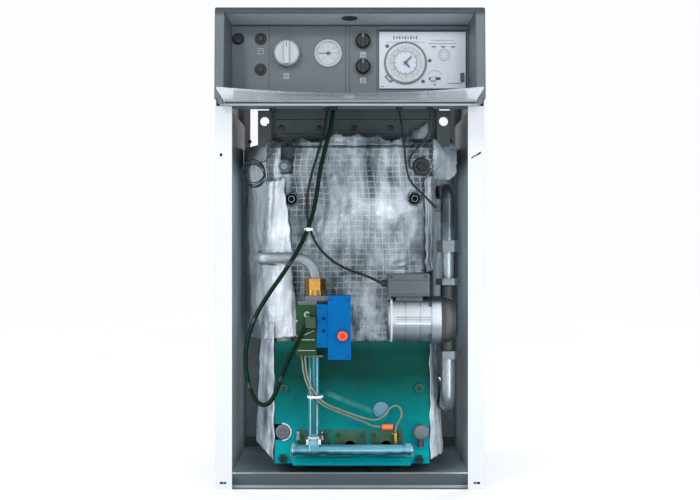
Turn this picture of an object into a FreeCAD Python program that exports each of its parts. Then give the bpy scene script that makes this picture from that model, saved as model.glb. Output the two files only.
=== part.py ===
import FreeCAD, Part
import Sketcher
import math, os, re

# Floor-standing gas boiler with its front door taken off.
# Frame: +X right, +Y towards the back, +Z up, millimetres; the origin is the
# centre of the cabinet footprint on the floor.

V = FreeCAD.Vector
doc = FreeCAD.newDocument("floor_boiler")
sheet = doc.addObject("Spreadsheet::Sheet", "Dims")
CELLS = {}


class Q:
    """A size: its value and the expression that gives it in the sheet."""

    def __init__(self, v, e):
        self.v, self.e = float(v), e

    def _mix(self, o, op, f, swap=False):
        ov, oe = (o.v, o.e) if isinstance(o, Q) else (float(o), repr(float(o)))
        a, b = ((ov, oe), (self.v, self.e)) if swap else ((self.v, self.e), (ov, oe))
        return Q(f(a[0], b[0]), "(%s %s %s)" % (a[1], op, b[1]))

    def __add__(self, o): return self._mix(o, "+", lambda a, b: a + b)
    def __radd__(self, o): return self._mix(o, "+", lambda a, b: a + b, True)
    def __sub__(self, o): return self._mix(o, "-", lambda a, b: a - b)
    def __rsub__(self, o): return self._mix(o, "-", lambda a, b: a - b, True)
    def __mul__(self, o): return self._mix(o, "*", lambda a, b: a * b)
    def __rmul__(self, o): return self._mix(o, "*", lambda a, b: a * b, True)
    def __truediv__(self, o): return self._mix(o, "/", lambda a, b: a / b)
    def __neg__(self): return Q(-self.v, "(0 - %s)" % self.e)


def dim(name, value):
    row = len(CELLS) + 1
    sheet.set("A%d" % row, name)
    sheet.set("B%d" % row, repr(round(float(value), 5)))
    sheet.setAlias("B%d" % row, name)
    CELLS[name] = float(value)
    return Q(value, "Dims." + name)


def q(e, hint):
    """A plain number gets a cell of its own, named after the piece."""
    if isinstance(e, Q):
        return e
    name = re.sub(r"\W", "_", hint).lower()
    base, k = name, 2
    while name in CELLS:
        name = "%s_no%d" % (base, k)
        k += 1
    return dim(name, e)


def n(e):
    return e.v if isinstance(e, Q) else float(e)


def at(o, x, y, z):
    for axis, e in (("x", x), ("y", y), ("z", z)):
        if isinstance(e, Q) or e:
            o.setExpression("Placement.Base." + axis, q(e, "%s_at_%s" % (o.Name, axis)).e)
    return o


def box(name, x0, x1, y0, y1, z0, z1):
    o = doc.addObject("Part::Box", name)
    for prop, ax, a, b in (("Length", "x", x0, x1), ("Width", "y", y0, y1), ("Height", "z", z0, z1)):
        qa = q(a, "%s_%s_from" % (o.Name, ax))
        qb = q(b, "%s_%s_to" % (o.Name, ax))
        o.setExpression(prop, (qb - qa).e)
        o.setExpression("Placement.Base." + ax, qa.e)
    return o


TURN = {"z": FreeCAD.Rotation(), "x": FreeCAD.Rotation(V(0, 1, 0), 90),
        "y": FreeCAD.Rotation(V(1, 0, 0), -90), "-y": FreeCAD.Rotation(V(1, 0, 0), 90),
        "-z": FreeCAD.Rotation(V(1, 0, 0), 180), "-x": FreeCAD.Rotation(V(0, 1, 0), -90)}


def cyl(name, axis, r, length, x, y, z):
    o = doc.addObject("Part::Cylinder", name)
    o.setExpression("Radius", q(r, o.Name + "_radius").e)
    o.setExpression("Height", q(length, o.Name + "_length").e)
    o.Placement = FreeCAD.Placement(V(0, 0, 0), TURN[axis])
    return at(o, x, y, z)


def hexa(name, axis, across, length, x, y, z):
    """A hexagonal prism, by its size across the flats."""
    o = doc.addObject("Part::Prism", name)
    o.Polygon = 6
    a = q(across, o.Name + "_across")
    o.setExpression("Circumradius", "%s / 1.7320508" % a.e)
    o.setExpression("Height", q(length, o.Name + "_length").e)
    o.Placement = FreeCAD.Placement(V(0, 0, 0), TURN[axis])
    return at(o, x, y, z)


def fuse(name, *parts):
    o = doc.addObject("Part::MultiFuse", name)
    o.Shapes = list(parts)
    o.Refine = True
    return o


def group(name, *parts):
    o = doc.addObject("Part::Compound", name)
    o.Links = list(parts)
    return o


def cut(name, base, *tools):
    o = doc.addObject("Part::Cut", name)
    o.Base = base
    o.Tool = tools[0] if len(tools) == 1 else group(name + "_tools", *tools)
    o.Refine = True
    return o


def body(name, x=0, y=0, z=0):
    b = doc.addObject("PartDesign::Body", name)
    return at(b, x, y, z)


def sketch(b, name, plane, offset=0):
    sk = b.newObject("Sketcher::SketchObject", name)
    support = [f for f in b.Origin.OriginFeatures if f.Role == plane][0]
    sk.AttachmentSupport = (support, [""])
    sk.MapMode = "FlatFace"
    if isinstance(offset, Q) or offset:
        sk.setExpression("AttachmentOffset.Base.z", q(offset, sk.Name + "_offset").e)
    return sk


def pin_down(sk, geo, pos, px, py, hint):
    """Hold a sketch point at its two distances from the sketch origin."""
    for kind, e, ax in (("DistanceX", px, "across"), ("DistanceY", py, "up")):
        c = sk.addConstraint(Sketcher.Constraint(kind, -1, 1, geo, pos, n(e)))
        if isinstance(e, Q) or e:
            sk.setExpression("Constraints[%d]" % c, q(e, "%s_%s_%s" % (sk.Name, hint, ax)).e)


def polygon(sk, pts):
    first = sk.GeometryCount
    count = len(pts)
    for i in range(count):
        a, b = pts[i], pts[(i + 1) % count]
        sk.addGeometry(Part.LineSegment(V(n(a[0]), n(a[1]), 0), V(n(b[0]), n(b[1]), 0)), False)
    for i in range(count):
        sk.addConstraint(Sketcher.Constraint("Coincident", first + i, 2, first + (i + 1) % count, 1))
    for i in range(count):
        pin_down(sk, first + i, 1, pts[i][0], pts[i][1], "p%d" % i)
    return sk


def circle(sk, r, cx=0, cy=0):
    g = sk.addGeometry(Part.Circle(V(n(cx), n(cy), 0), V(0, 0, 1), n(r)), False)
    c = sk.addConstraint(Sketcher.Constraint("Radius", g, n(r)))
    sk.setExpression("Constraints[%d]" % c, q(r, "%s_hole%d_radius" % (sk.Name, g)).e)
    pin_down(sk, g, 3, cx, cy, "hole%d" % g)
    return sk


def rect(sk, x0, x1, y0, y1):
    return polygon(sk, [(x0, y0), (x1, y0), (x1, y1), (x0, y1)])


def pad(b, sk, length, rev=False):
    p = b.newObject("PartDesign::Pad", sk.Name + "_pad")
    p.Profile = sk
    p.setExpression("Length", q(length, p.Name + "_length").e)
    p.Reversed = rev
    sk.Visibility = False
    return p


def pocket(b, sk, length, rev=False):
    p = b.newObject("PartDesign::Pocket", sk.Name + "_pocket")
    p.Profile = sk
    p.setExpression("Length", q(length, p.Name + "_depth").e)
    p.Reversed = rev
    sk.Visibility = False
    return p


def spin(name, axis, pts, x=0, y=0, z=0):
    """A turned piece; each point is (radius, distance along the axis)."""
    b = body(name, x, y, z)
    if axis == "y":
        sk = polygon(sketch(b, name + "_profile", "XY_Plane"), pts)
    elif axis == "z":
        sk = polygon(sketch(b, name + "_profile", "XZ_Plane"), pts)
    else:
        sk = polygon(sketch(b, name + "_profile", "XY_Plane"), [(p[1], p[0]) for p in pts])
    r = b.newObject("PartDesign::Revolution", name + "_turned")
    r.Profile = sk
    r.ReferenceAxis = (sk, ["H_Axis" if axis == "x" else "V_Axis"])
    r.Angle = 360
    sk.Visibility = False
    return b


NODES = []


def node(o, label):
    o.Label = label
    NODES.append((label, o))
    return o


def edges_where(shape, test):
    return ["Edge%d" % (i + 1) for i, e in enumerate(shape.Edges) if test(e)]


def rounded(name, base, radius, test):
    """Round the edges of a piece that pass the test."""
    doc.recompute()
    o = doc.addObject("Part::Fillet", name)
    o.Base = base
    o.Edges = [(i + 1, float(radius), float(radius)) for i, e in enumerate(base.Shape.Edges) if test(e)]
    return o


def along(e, axis, least=1.0):
    """True for a straight edge along X, Y or Z (axis 0, 1, 2)."""
    if len(e.Vertexes) != 2:
        return False
    d = e.Vertexes[1].Point - e.Vertexes[0].Point
    c = [abs(d.x), abs(d.y), abs(d.z)]
    return c[axis] > least and sum(c) - c[axis] < 1e-3


def mid(e):
    return e.BoundBox.Center


def bent_path(pts, radii):
    """Straight runs joined by tangent arcs through the given corner points."""
    edges, start = [], pts[0]
    for i in range(1, len(pts) - 1):
        a, b, c = pts[i - 1], pts[i], pts[i + 1]
        u, w = (a - b).normalize(), (c - b).normalize()
        half = u.getAngle(w) / 2.0
        r = radii[i - 1]
        back = r / math.tan(half)
        p1, p2 = b + u * back, b + w * back
        bis = (u + w).normalize()
        centre = b + bis * (r / math.sin(half))
        pm = centre - bis * r
        if (p1 - start).Length > 1e-6:
            edges.append(Part.LineSegment(start, p1).toShape())
        edges.append(Part.Arc(p1, pm, p2).toShape())
        start = p2
    edges.append(Part.LineSegment(start, pts[-1]).toShape())
    return Part.Wire(edges)


def swept(name, wire, r, inner=0.0):
    """A round tube or bar along a path of runs and arcs."""
    e = wire.Edges[0]
    p0 = e.valueAt(e.FirstParameter)
    d0 = e.tangentAt(e.FirstParameter)
    def run(radius):
        ring = Part.Wire([Part.Circle(p0, d0, radius).toShape()])
        return wire.makePipeShell([ring], True, False)
    s = run(r)
    if inner:
        s = s.cut(run(inner))
    solid = s.Solids[0]
    want = math.pi * (r * r - inner * inner) * wire.Length
    print("%s: length %.1f mm, volume / (section x length) = %.4f" % (name, wire.Length, solid.Volume / want))
    o = doc.addObject("Part::Feature", name)
    o.Shape = solid
    return o


def cord(name, pts, d):
    """A cord: every arc as large as its two runs allow."""
    pts = [V(*p) for p in pts]
    radii = []
    for i in range(1, len(pts) - 1):
        u, w = pts[i] - pts[i - 1], pts[i + 1] - pts[i]
        turn = u.getAngle(w)
        radii.append(0.45 * min(u.Length, w.Length) / math.tan(turn / 2.0))
    runs = [(pts[i + 1] - pts[i]).Length for i in range(len(pts) - 1)]
    print("%s: runs %s" % (name, " ".join("%.0f" % r for r in runs)))
    print("%s: radii / d %s" % (name, " ".join("%.1f" % (r / d) for r in radii)))
    wire = bent_path(pts, radii)
    return swept(name, wire, d / 2.0)


# ---------------------------------------------------------------- cabinet
W = dim("cabinet_width", 500)
DEEP = dim("cabinet_depth", 560)
HIGH = dim("cabinet_height", 894)
SH = dim("sheet_thickness", 1.5)
F = dim("front_plane", -280)          # front face of the side flanges
FL = dim("flange_width", 30.6)
FTOP = dim("flange_top", 713)
HOODZ = dim("hood_underside", 724)
HOODB = dim("hood_back", 170)
HW = W / 2
BACK = F + DEEP

# side panels: a wall with return flanges at the front and the back; the wall
# steps up behind the control hood
for s, side in ((-1, "left"), (1, "right")):
    b = body("panel_" + side)
    plan = [(HW, F), (HW, BACK), (HW - 25, BACK), (HW - 25, BACK - SH), (HW - SH, BACK - SH),
            (HW - SH, F + SH), (HW - FL, F + SH), (HW - FL, F)]
    pad(b, polygon(sketch(b, "plan_" + side, "XY_Plane"), [(x * s, y) for x, y in plan]), FTOP)
    plan = [(HW, F), (HW, BACK), (HW - 25, BACK), (HW - 25, BACK - SH), (HW - SH, BACK - SH), (HW - SH, F)]
    pad(b, polygon(sketch(b, "step_" + side, "XY_Plane", FTOP), [(x * s, y) for x, y in plan]), HOODZ - 1 - FTOP)
    plan = [(HW, F + HOODB + 2), (HW, BACK), (HW - 25, BACK), (HW - 25, BACK - SH), (HW - SH, BACK - SH),
            (HW - SH, F + HOODB + 2)]
    pad(b, polygon(sketch(b, "upper_" + side, "XY_Plane", HOODZ - 1), [(x * s, y) for x, y in plan]),
        HIGH - HOODZ)
    slots = sketch(b, "slots_" + side, "XZ_Plane", -F)
    polygon(slots, [(s * 230.0, 10.0), (s * 242.0, 10.0), (s * 242.0, 14.0), (s * 230.0, 14.0)])
    if s > 0:
        polygon(slots, [(225.5, 614.6), (243.5, 624.8), (243.5, 628.4), (225.5, 618.2)])
    else:
        polygon(slots, [(-242.0, 619.5), (-237.6, 619.5), (-237.6, 625.0), (-242.0, 625.0)])
    pocket(b, slots, SH * 2)
    node(b, "side_panel_" + side)

# dark inner liners, one behind each side flange
for s, side in ((-1, "left"), (1, "right")):
    a, c = (235.0, 236.5) if s > 0 else (-236.5, -235.0)
    node(box("liner_" + side, a, c, F + SH + 0.2, BACK - 12, 3.2, HOODZ - 2.5), "side_liner_" + side)

# base pan: a floor tray with an upstand set back from the front
node(fuse("base_pan_all",
          box("base_floor", -HW + SH, HW - SH, F + SH, BACK - SH, 0, 3),
          box("base_front", -234.5, 234.5, F + 30, F + 31.5, 2, 25),
          box("base_front_lip", -234.5, 234.5, F + 31.5, F + 42, 23.5, 25),
          box("base_left", -HW + SH, -HW + SH * 2, F + SH, BACK - 3.5, 2, 18),
          box("base_right", HW - SH * 2, HW - SH, F + SH, BACK - 3.5, 2, 18),
          box("base_back", -234.5, 234.5, BACK - 12, BACK - 10.5, 2, 25)), "base_pan")

# back panel: stops below the flue, with openings for the three pipes
b = body("back_sheet")
sk = sketch(b, "back_outline", "XZ_Plane", -(BACK - SH))
rect(sk, -HW + SH, HW - SH, 3.0, 630.0)
GASX = dim("gas_pipe_x", -186.5)
GASZ = dim("gas_pipe_z", 430)
FLOWX = dim("flow_pipe_x", 189.5)
FLOWZ = dim("flow_pipe_z", 143)
RETX = dim("return_pipe_x", 6)
RETZ = dim("return_pipe_z", 283)
circle(sk, 16, GASX, GASZ)
circle(sk, 24, FLOWX, FLOWZ)
circle(sk, 24, RETX, RETZ)
for i in range(6):
    rect(sk, -60, 60, 60.0 + 16 * i, 66.0 + 16 * i)
pad(b, sk, SH)
node(b, "back_panel")

# top cover behind the hood
node(fuse("top_cover_all",
          box("top_sheet", -HW + SH, HW - SH, F + HOODB + 2, BACK - SH, HIGH - SH, HIGH),
          box("top_back_fold", -HW + SH, HW - SH, BACK - SH * 2, BACK - SH, HIGH - 30, HIGH - SH),
          box("top_front_fold", -HW + SH, HW - SH, F + HOODB + 2, F + HOODB + 2 + SH, HIGH - 30, HIGH - SH)),
     "top_cover")

# rail across the front under the hood
node(fuse("front_rail_all",
          box("rail_face", -241, 241, F - 8, F - 6, FTOP, HOODZ - 0.5),
          box("rail_shelf", -241, 241, F - 8, F + 50, HOODZ - 2, HOODZ - 0.5)), "front_rail")

# ---------------------------------------------------------------- control hood
b = body("hood_block")
pad(b, polygon(sketch(b, "hood_side", "YZ_Plane", -HW),
               [(F - 30, HOODZ), (F + HOODB, HOODZ), (F + HOODB, HIGH), (F - 18, HIGH)]), W)
recess = doc.addObject("Part::Wedge", "hood_recess")
for prop, e in (("Xmin", -233.6), ("Xmax", 233.6), ("Zmin", 725.6), ("Zmax", 889.2),
                ("X2min", -225.5), ("X2max", 225.5), ("Z2min", 745.5), ("Z2max", 876.4)):
    recess.setExpression(prop, q(e, "hood_recess_" + prop).e)
recess.setExpression("Ymin", (F - 40).e)
recess.setExpression("Ymax", (F + 79).e)
PANEL = dim("panel_front", 78)        # depth of the control panel behind the flanges
hollow = fuse("hood_hollow", recess,
              box("hood_cavity", -247, 247, F + PANEL, F + HOODB + 5, 727, 891),
              box("cheek_left", -247, -236, F - 12, F + PANEL + 2, 727, 888),
              box("cheek_right", 236, 247, F - 12, F + PANEL + 2, 727, 888),
              box("catch_hole", -12, 11, F + 18, F + 46, 872, 887))
hood = cut("hood_shell", b, hollow)
hood = rounded("hood_rounded", hood, 3.5, lambda e: (
    (along(e, 0, 400) and mid(e).z > 893 and mid(e).y < -290) or
    (abs(abs(mid(e).x) - 250) < 0.1 and e.BoundBox.ZLength > 160 and mid(e).y < -290) or
    (along(e, 1, 150) and abs(abs(mid(e).x) - 250) < 0.1 and mid(e).z > 893)))

# control panel plate, fixed behind the rim of the recess
TST = (dim("thermostat_x", -120.6), dim("thermostat_z", 820.8))
THM = (dim("thermometer_x", -41.8), dim("thermometer_z", 821.9))
SEL = (dim("selector_x", 24.8), dim("selector_upper_z", 844.6), dim("selector_lower_z", 796.1))
CAP = (dim("fuse_cap_x", -214), dim("fuse_cap_z", 849.3))
RST = (dim("reset_x", -170.9), dim("reset_z", 849.3))
TES = (dim("test_x", -171.1), dim("test_z", 790.8))
b = body("panel_sheet")
sk = sketch(b, "panel_outline", "XZ_Plane", -(F + PANEL))
rect(sk, -231, 231, 737, 883)
circle(sk, 4, *TST)
circle(sk, 24, *THM)
circle(sk, 4, SEL[0], SEL[1])
circle(sk, 4, SEL[0], SEL[2])
for c in (CAP, RST, TES):
    circle(sk, 7.6, *c)
rect(sk, 62.5, 214.5, 760.5, 855.5)
pad(b, sk, 3, True)
node(b, "control_panel")

# rotary controls: knob with a shaft that turns in a bush behind the panel
SHAFT = dim("knob_shaft_radius", 3.0)
BUSH = dim("knob_bush_radius", 3.06)


def bush(name, x, z, r, t1):
    return spin(name, "y", [(BUSH, F + PANEL + 3), (r, F + PANEL + 3), (r, F + t1), (BUSH, F + t1)], x, 0, z)


def knob(name, x, z, r, t0, tr, rib_w, rib_l, t_end):
    turned = spin(name + "_turned", "y",
                  [(0, F + t0), (r - 3, F + t0), (r - 1, F + t0 + 1.6), (r, F + t0 + 4), (r, F + PANEL - 0.6),
                   (SHAFT, F + PANEL - 0.6), (SHAFT, F + t_end), (0, F + t_end)], x, 0, z)
    rib = box(name + "_rib", x - rib_w / 2, x + rib_w / 2, F + tr, F + t0 + 0.5, z - rib_l / 2, z + rib_l / 2)
    return fuse(name + "_all", turned, rounded(name + "_rib_round", rib, 1.5, lambda e: along(e, 1, 2)))


node(bush("thermostat_bush", TST[0], TST[1], 16, 112), "thermostat_body")
node(knob("thermostat_knob", TST[0], TST[1], 24, 58, 50, 9.0, 42.0, 108), "thermostat_knob")
node(group("selector_pair", bush("selector_bush_up", SEL[0], SEL[1], 12, 104),
           bush("selector_bush_low", SEL[0], SEL[2], 12, 104)), "selector_switches")
node(knob("selector_up", SEL[0], SEL[1], 14, 63, 57, 6.0, 25.0, 100), "selector_knob_upper")
node(knob("selector_low", SEL[0], SEL[2], 14, 63, 57, 6.0, 25.0, 100), "selector_knob_lower")

# push buttons and the fuse cap, each in a bezel clamped through the panel


def bezel(name, c):
    return spin(name, "y", [(6.1, F + 75.5), (9, F + 75.5), (9, F + PANEL), (7.4, F + PANEL), (7.4, F + 98),
                            (3.06, F + 98), (3.06, F + 85), (6.1, F + 85)], c[0], 0, c[1])


def button(name, c):
    return spin(name, "y", [(0, F + 72), (5, F + 72), (5.8, F + 72.8), (5.8, F + 80.5), (SHAFT, F + 80.5),
                            (SHAFT, F + 97), (0, F + 97)], c[0], 0, c[1])


node(group("bezel_set", bezel("bezel_cap", CAP), bezel("bezel_reset", RST), bezel("bezel_test", TES)),
     "button_bezels")
node(button("reset_turned", RST), "reset_button")
node(button("test_turned", TES), "test_button")
capb = spin("cap_turned", "y", [(0, F + 70.5), (7.8, F + 70.5), (8.7, F + 71.4), (8.7, F + 75.0), (5.8, F + 75.0),
                                (5.8, F + 84), (0, F + 84)], CAP[0], 0, CAP[1])
node(cut("fuse_cap_all", capb, box("cap_slot", CAP[0] - 6.5, CAP[0] + 6.5, F + 69, F + 72.2, CAP[1] - 1, CAP[1] + 1)),
     "fuse_cap")

# thermometer: case with a dial floor, lens, and a needle on an arbor
node(spin("thermometer_can", "y", [(23, F + 73.5), (26, F + 73.5), (26, F + PANEL), (23.8, F + PANEL), (23.8, F + 100),
                                   (1.06, F + 100), (1.06, F + 77.4), (23, F + 77.4)], THM[0], 0, THM[1]),
     "thermometer_case")
node(cyl("lens_disc", "y", 22.9, 0.8, THM[0], F + 73.8, THM[1]), "thermometer_lens")
node(fuse("needle_all",
          spin("needle_arbor", "y", [(0, F + 75.2), (2.4, F + 75.2), (2.4, F + 76.4), (1, F + 76.4), (1, F + 96), (0, F + 96)],
               THM[0], 0, THM[1]),
          box("needle_point", THM[0] - 19, THM[0] - 1, F + 75.4, F + 76.2, THM[1] - 0.6, THM[1] + 0.6)),
     "thermometer_needle")

# timer: white housing with a clock boss, a day ring, two hands and a slide
CLK = (dim("clock_x", 106), dim("clock_z", 802.6))
timer = fuse("timer_block",
             box("timer_plate", 56, 221, F + 72, F + PANEL, 754, 862),
             box("timer_body", 63, 214, F + PANEL - 1, F + 112, 761, 855),
             cyl("timer_boss", "y", 21.9, 5, CLK[0], F + 68, CLK[1]),
             box("timer_tab", 187, 213, F + 69, F + 72.5, 764, 784.5))
timer = cut("timer_holes", timer,
            cyl("clock_bore", "y", 2.06, 60, CLK[0], F + 60, CLK[1]),
            box("slide_slot", 151, 173, F + 60, F + 92, 770.4, 775.2))
node(timer, "programmer_housing")
node(spin("ring_turned", "y", [(22.0, F + 69.5), (27, F + 68.2), (33, F + 68.2), (37.5, F + 69.2), (37.5, F + 71.5),
                               (22.0, F + 71.5)], CLK[0], 0, CLK[1]), "timer_ring")


def hand(name, t0, angle, length, w0, w1):
    b = body(name, CLK[0], 0, CLK[1])
    a = math.radians(angle)
    c, s_ = math.cos(a), math.sin(a)
    pts = [(-4, -w0), (length, -w1), (length + w1 * 2, 0), (length, w1), (-4, w0)]
    sk = polygon(sketch(b, name + "_outline", "XZ_Plane", -(F + t0)), [(u * c - v * s_, u * s_ + v * c) for u, v in pts])
    pad(b, sk, 0.8, True)
    return b


node(cut("hour_bored", fuse("hour_all", hand("hour_blade", 66.2, -50, 11.0, 1.3, 0.9),
          spin("hour_tube", "y", [(1.06, F + 66.2), (4, F + 66.2), (4, F + 67.2), (2, F + 67.2), (2, F + 90), (1.06, F + 90)],
               CLK[0], 0, CLK[1])), cyl("hour_bore", "y", 1.06, 10, CLK[0], F + 60, CLK[1])), "hour_hand")
node(fuse("minute_all", hand("minute_blade", 64.4, 48, 16.0, 1.1, 0.7),
          spin("minute_arbor", "y", [(0, F + 64.0), (3.2, F + 64.0), (3.2, F + 65.2), (1, F + 65.2), (1, F + 95), (0, F + 95)],
               CLK[0], 0, CLK[1])), "minute_hand")
node(fuse("slide_all", box("slide_grip", 153.5, 163.5, F + 67.5, F + 71.5, 768.3, 777.3),
          box("slide_stem", 156, 161, F + 71, F + 88, 770.9, 774.7)), "timer_slider")

# clear flap: bowed sheet, moulded pivot pins and a catch at the middle of its
# free edge; it hangs open, level, in front of the hood
PIVY, PIVZ = F - 33, dim("flap_pivot_z", 719.4)
FLAPW = dim("flap_half_width", 231)
FLAPT = dim("flap_thickness", 3)
SAG = dim("flap_sag", 11)
FREE = dim("flap_free_edge", -188)
TIPZ = dim("flap_tip_z", 727.2)


def flap_section(y, z_end, sag, thick):
    w = FLAPW.v
    lo = [V(-w, y, z_end - thick), V(0, y, z_end - thick - sag), V(w, y, z_end - thick)]
    hi = [V(-w, y, z_end), V(0, y, z_end - sag), V(w, y, z_end)]
    return Part.Wire([Part.Arc(*lo).toShape(), Part.LineSegment(lo[2], hi[2]).toShape(),
                      Part.Arc(hi[2], hi[1], hi[0]).toShape(), Part.LineSegment(hi[0], lo[0]).toShape()])


sheet_part = doc.addObject("Part::Feature", "flap_sheet")
sheet_part.Shape = Part.makeLoft([flap_section(n(PIVY), 721.2, 0.6, FLAPT.v),
                                  flap_section(n(F) + FREE.v, TIPZ.v, SAG.v, FLAPT.v)], True, True)
node(fuse("flap_all", sheet_part,
          cyl("flap_pin_left", "x", 2.0, 13, -242, PIVY, PIVZ),
          cyl("flap_pin_right", "x", 2.0, 13, 229, PIVY, PIVZ),
          box("flap_catch", -9, 9, F + FREE + 1, F + FREE + 7, TIPZ - SAG - 8, TIPZ - SAG - 2)), "clear_flap")
lugs = []
for s, side in ((-1, "left"), (1, "right")):
    a, c = (233.0, 243.0) if s > 0 else (-243.0, -233.0)
    lugs.append(cut("lug_" + side, box("lug_block_" + side, a, c, F - 38, F - 16, 714.5, HOODZ),
                    cyl("lug_bore_" + side, "x", 2.06, 20, a - 5, PIVY, PIVZ)))
# the hinge lugs are moulded under the front corners of the hood
node(fuse("hood_all", hood, *lugs), "hood_housing")

# ---------------------------------------------------------------- boiler block
SX0, SX1 = dim("section_left", -138), dim("section_right", 150)
SZ0, SZ1 = dim("section_bottom", 268), dim("section_top", 651)
SY = dim("section_front_depth", 186)
PITCH = dim("section_pitch", 66)
RODS = [(-116.0, 546.0), (128.0, 547.0)]
for i in range(5):
    label = ("front_section", "section_2", "section_3", "section_4", "rear_section")[i]
    b = body("cast_" + label)
    y0 = F + SY + PITCH * i
    sk = sketch(b, label + "_outline", "XZ_Plane", -y0)
    rect(sk, SX0, SX1, SZ0, SZ1)
    for x, z in RODS:
        circle(sk, 8, x, z)
    for k in range(3):
        rect(sk, SX0 + 18 + 88 * k, SX0 + 94 + 88 * k, SZ0 + 30, SZ0 + 253)
    pad(b, sk, PITCH - 4, True)
    node(b, label)
node(group("rod_pair", *[fuse("rod_all_%d" % i, cyl("rod_%d" % i, "y", 7, 366, x, F + 166, z),
                              hexa("rod_nut_%d" % i, "y", 19, 12, x, F + 173, z),
                              hexa("rod_end_%d" % i, "y", 19, 12, x, F + 512, z))
                         for i, (x, z) in enumerate(RODS)]), "tie_rods")
node(fuse("plug_all", cyl("plug_flange", "y", 15.5, 14, -130.0, F + 172, 611.0),
          hexa("plug_hex", "y", 22, 10, -130.0, F + 163, 611.0)), "section_plug")
node(fuse("sensor_all", cyl("sensor_flange", "y", 16, 16, 142.0, F + 170, 611.0),
          cyl("sensor_tip", "y", 8, 8, 142.0, F + 163, 611.0)), "sensor_pocket")

# flue collector with its outlet socket at the back
col = cut("collector_shell",
          box("collector_out", -156, 172, F + 216, F + 480, SZ1 + 0.2, 866),
          box("collector_in", -153.5, 169.5, F + 218.5, F + 477.5, SZ1 - 2, 863.5),
          cyl("collector_hole", "y", 66.9, 20, 8, F + 470, 772.0))
node(col, "flue_collector")
FLR = dim("flue_bore_radius", 65)
node(spin("flue_turned", "y", [(FLR, F + 470), (66.8, F + 470), (66.8, F + 480.2), (82, F + 480.2), (82, F + 483), (67.5, F + 483),
                               (67.5, F + 606), (FLR, F + 606)], 8, 0, 772), "flue_socket")

# lifting lugs bolted on top of the front and rear sections
for side, xs in (("left", (-184.0, -157.0, -128.0)), ("right", (200.0, 173.5, 140.0))):
    plates = []
    for i, t in enumerate((192.0, 490.0)):
        b = body("lug_plate_%s_%d" % (side, i))
        x0, x1, x2 = xs
        sk = sketch(b, "lug_outline_%s_%d" % (side, i), "XZ_Plane", -(F + t))
        polygon(sk, [(x2, 651.4), (x0, 651.4), (x0, 724.0), (x1, 724.0), (x1, 664.0), (x2, 664.0)])
        circle(sk, 9, (x0 + x1) / 2, 702.0)
        pad(b, sk, 6, True)
        plates.append(b)
    node(group("lugs_" + side, *plates), "lifting_lugs_" + side)

# insulation blanket: front and two sides round the sections, held by the rods
blanket = fuse("blanket_block",
               box("blanket_front", -150, 172, F + 171, F + 185, 272, 664),
               box("blanket_left", -172, -139, F + 184, F + 500, 272, 648),
               box("blanket_right", 151, 172, F + 184, F + 500, 272, 648),
               box("blanket_lj", -172, -139, F + 171, F + 186, 272, 648))
node(cut("blanket_cut", blanket,
         cyl("hole_plug", "y", 19, 40, -130.0, F + 160, 611.0), cyl("hole_sensor", "y", 19, 40, 142.0, F + 160, 611.0),
         cyl("hole_rod_l", "y", 15, 40, -116.0, F + 160, 546.0), cyl("hole_rod_r", "y", 15, 40, 128.0, F + 160, 547.0),
         box("hole_flow", 140, 190, F + 215, F + 265, 540, 584)), "insulation_blanket")

# ---------------------------------------------------------------- burner
PL = dim("burner_plate_depth", 150)
b = body("burner_sheet")
sk = sketch(b, "burner_outline", "XZ_Plane", -(F + PL))
polygon(sk, [(-148, 25.5), (156, 25.5), (156, 265), (-148, 265), (-148, 103), (-121, 103), (-116, 97), (-116, 78), (-121, 72),
             (-148, 72)])
PORTS = [-71.0, 0.0, 71.0]
for x in PORTS:
    circle(sk, 14.6, x, 60)
circle(sk, 11, 61.3, 131.4)
pad(b, sk, 2, True)
node(fuse("burner_plate_all", b, box("burner_top_fold", -148, 156, F + PL + 1, F + 166, 263, 265),
          box("burner_channel", -112, 118, F + 122, F + PL + 1, 25.5, 40)), "burner_plate")
# chamber walls under the sections
node(fuse("chamber_all", box("chamber_left", -150, -148.2, F + 153, F + 515, 25.2, 267.5),
          box("chamber_right", 156.2, 158, F + 153, F + 515, 25.2, 267.5),
          box("chamber_back", -150, 158, F + 513, F + 515, 25.2, 267.5),
          box("chamber_floor", -150, 158, F + 153, F + 515, 25.2, 27)), "combustion_chamber")
for i, x in enumerate(PORTS):
    side = ("left", "centre", "right")[i]
    node(fuse("tube_all_" + side,
              spin("tube_%s" % side, "y", [(11.5, F + 140), (14, F + 140), (14, F + 490), (0, F + 490), (0, F + 487), (11.5, F + 487)],
                   x, 0, 60),
              cut("tube_flange_" + side, box("flange_%s" % side, x - 33, x + 33, F + PL - 2.5, F + PL, 46, 92),
                  cyl("flange_hole_" + side, "y", 13.5, 12, x, F + 144, 60))), "burner_tube_" + side)
MT = dim("manifold_depth", 95)
MR = dim("gas_pipe_radius", 10.65)
node(fuse("manifold_all", cyl("manifold_bar", "x", MR, 222, -107, F + MT, 59.5),
          cyl("manifold_end_l", "x", 16, 5, -110, F + MT, 59.5), cyl("manifold_end_r", "x", 13, 12, 106, F + MT, 59.5),
          cyl("manifold_socket", "z", 14, 22, -70, F + MT, 59.5)), "gas_manifold")
node(group("injector_set", *[fuse("injector_%d" % i, cyl("injector_tip_%d" % i, "y", 4.5, 34, x, F + MT + 10.7, 59.5),
                                  hexa("injector_hex_%d" % i, "y", 13, 12, x, F + MT + 10.7, 59.5))
                             for i, x in enumerate(PORTS)]), "gas_injectors")
node(cyl("riser_bar", "z", MR, 158.3, -70, F + MT, 81.7), "gas_riser")
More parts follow.
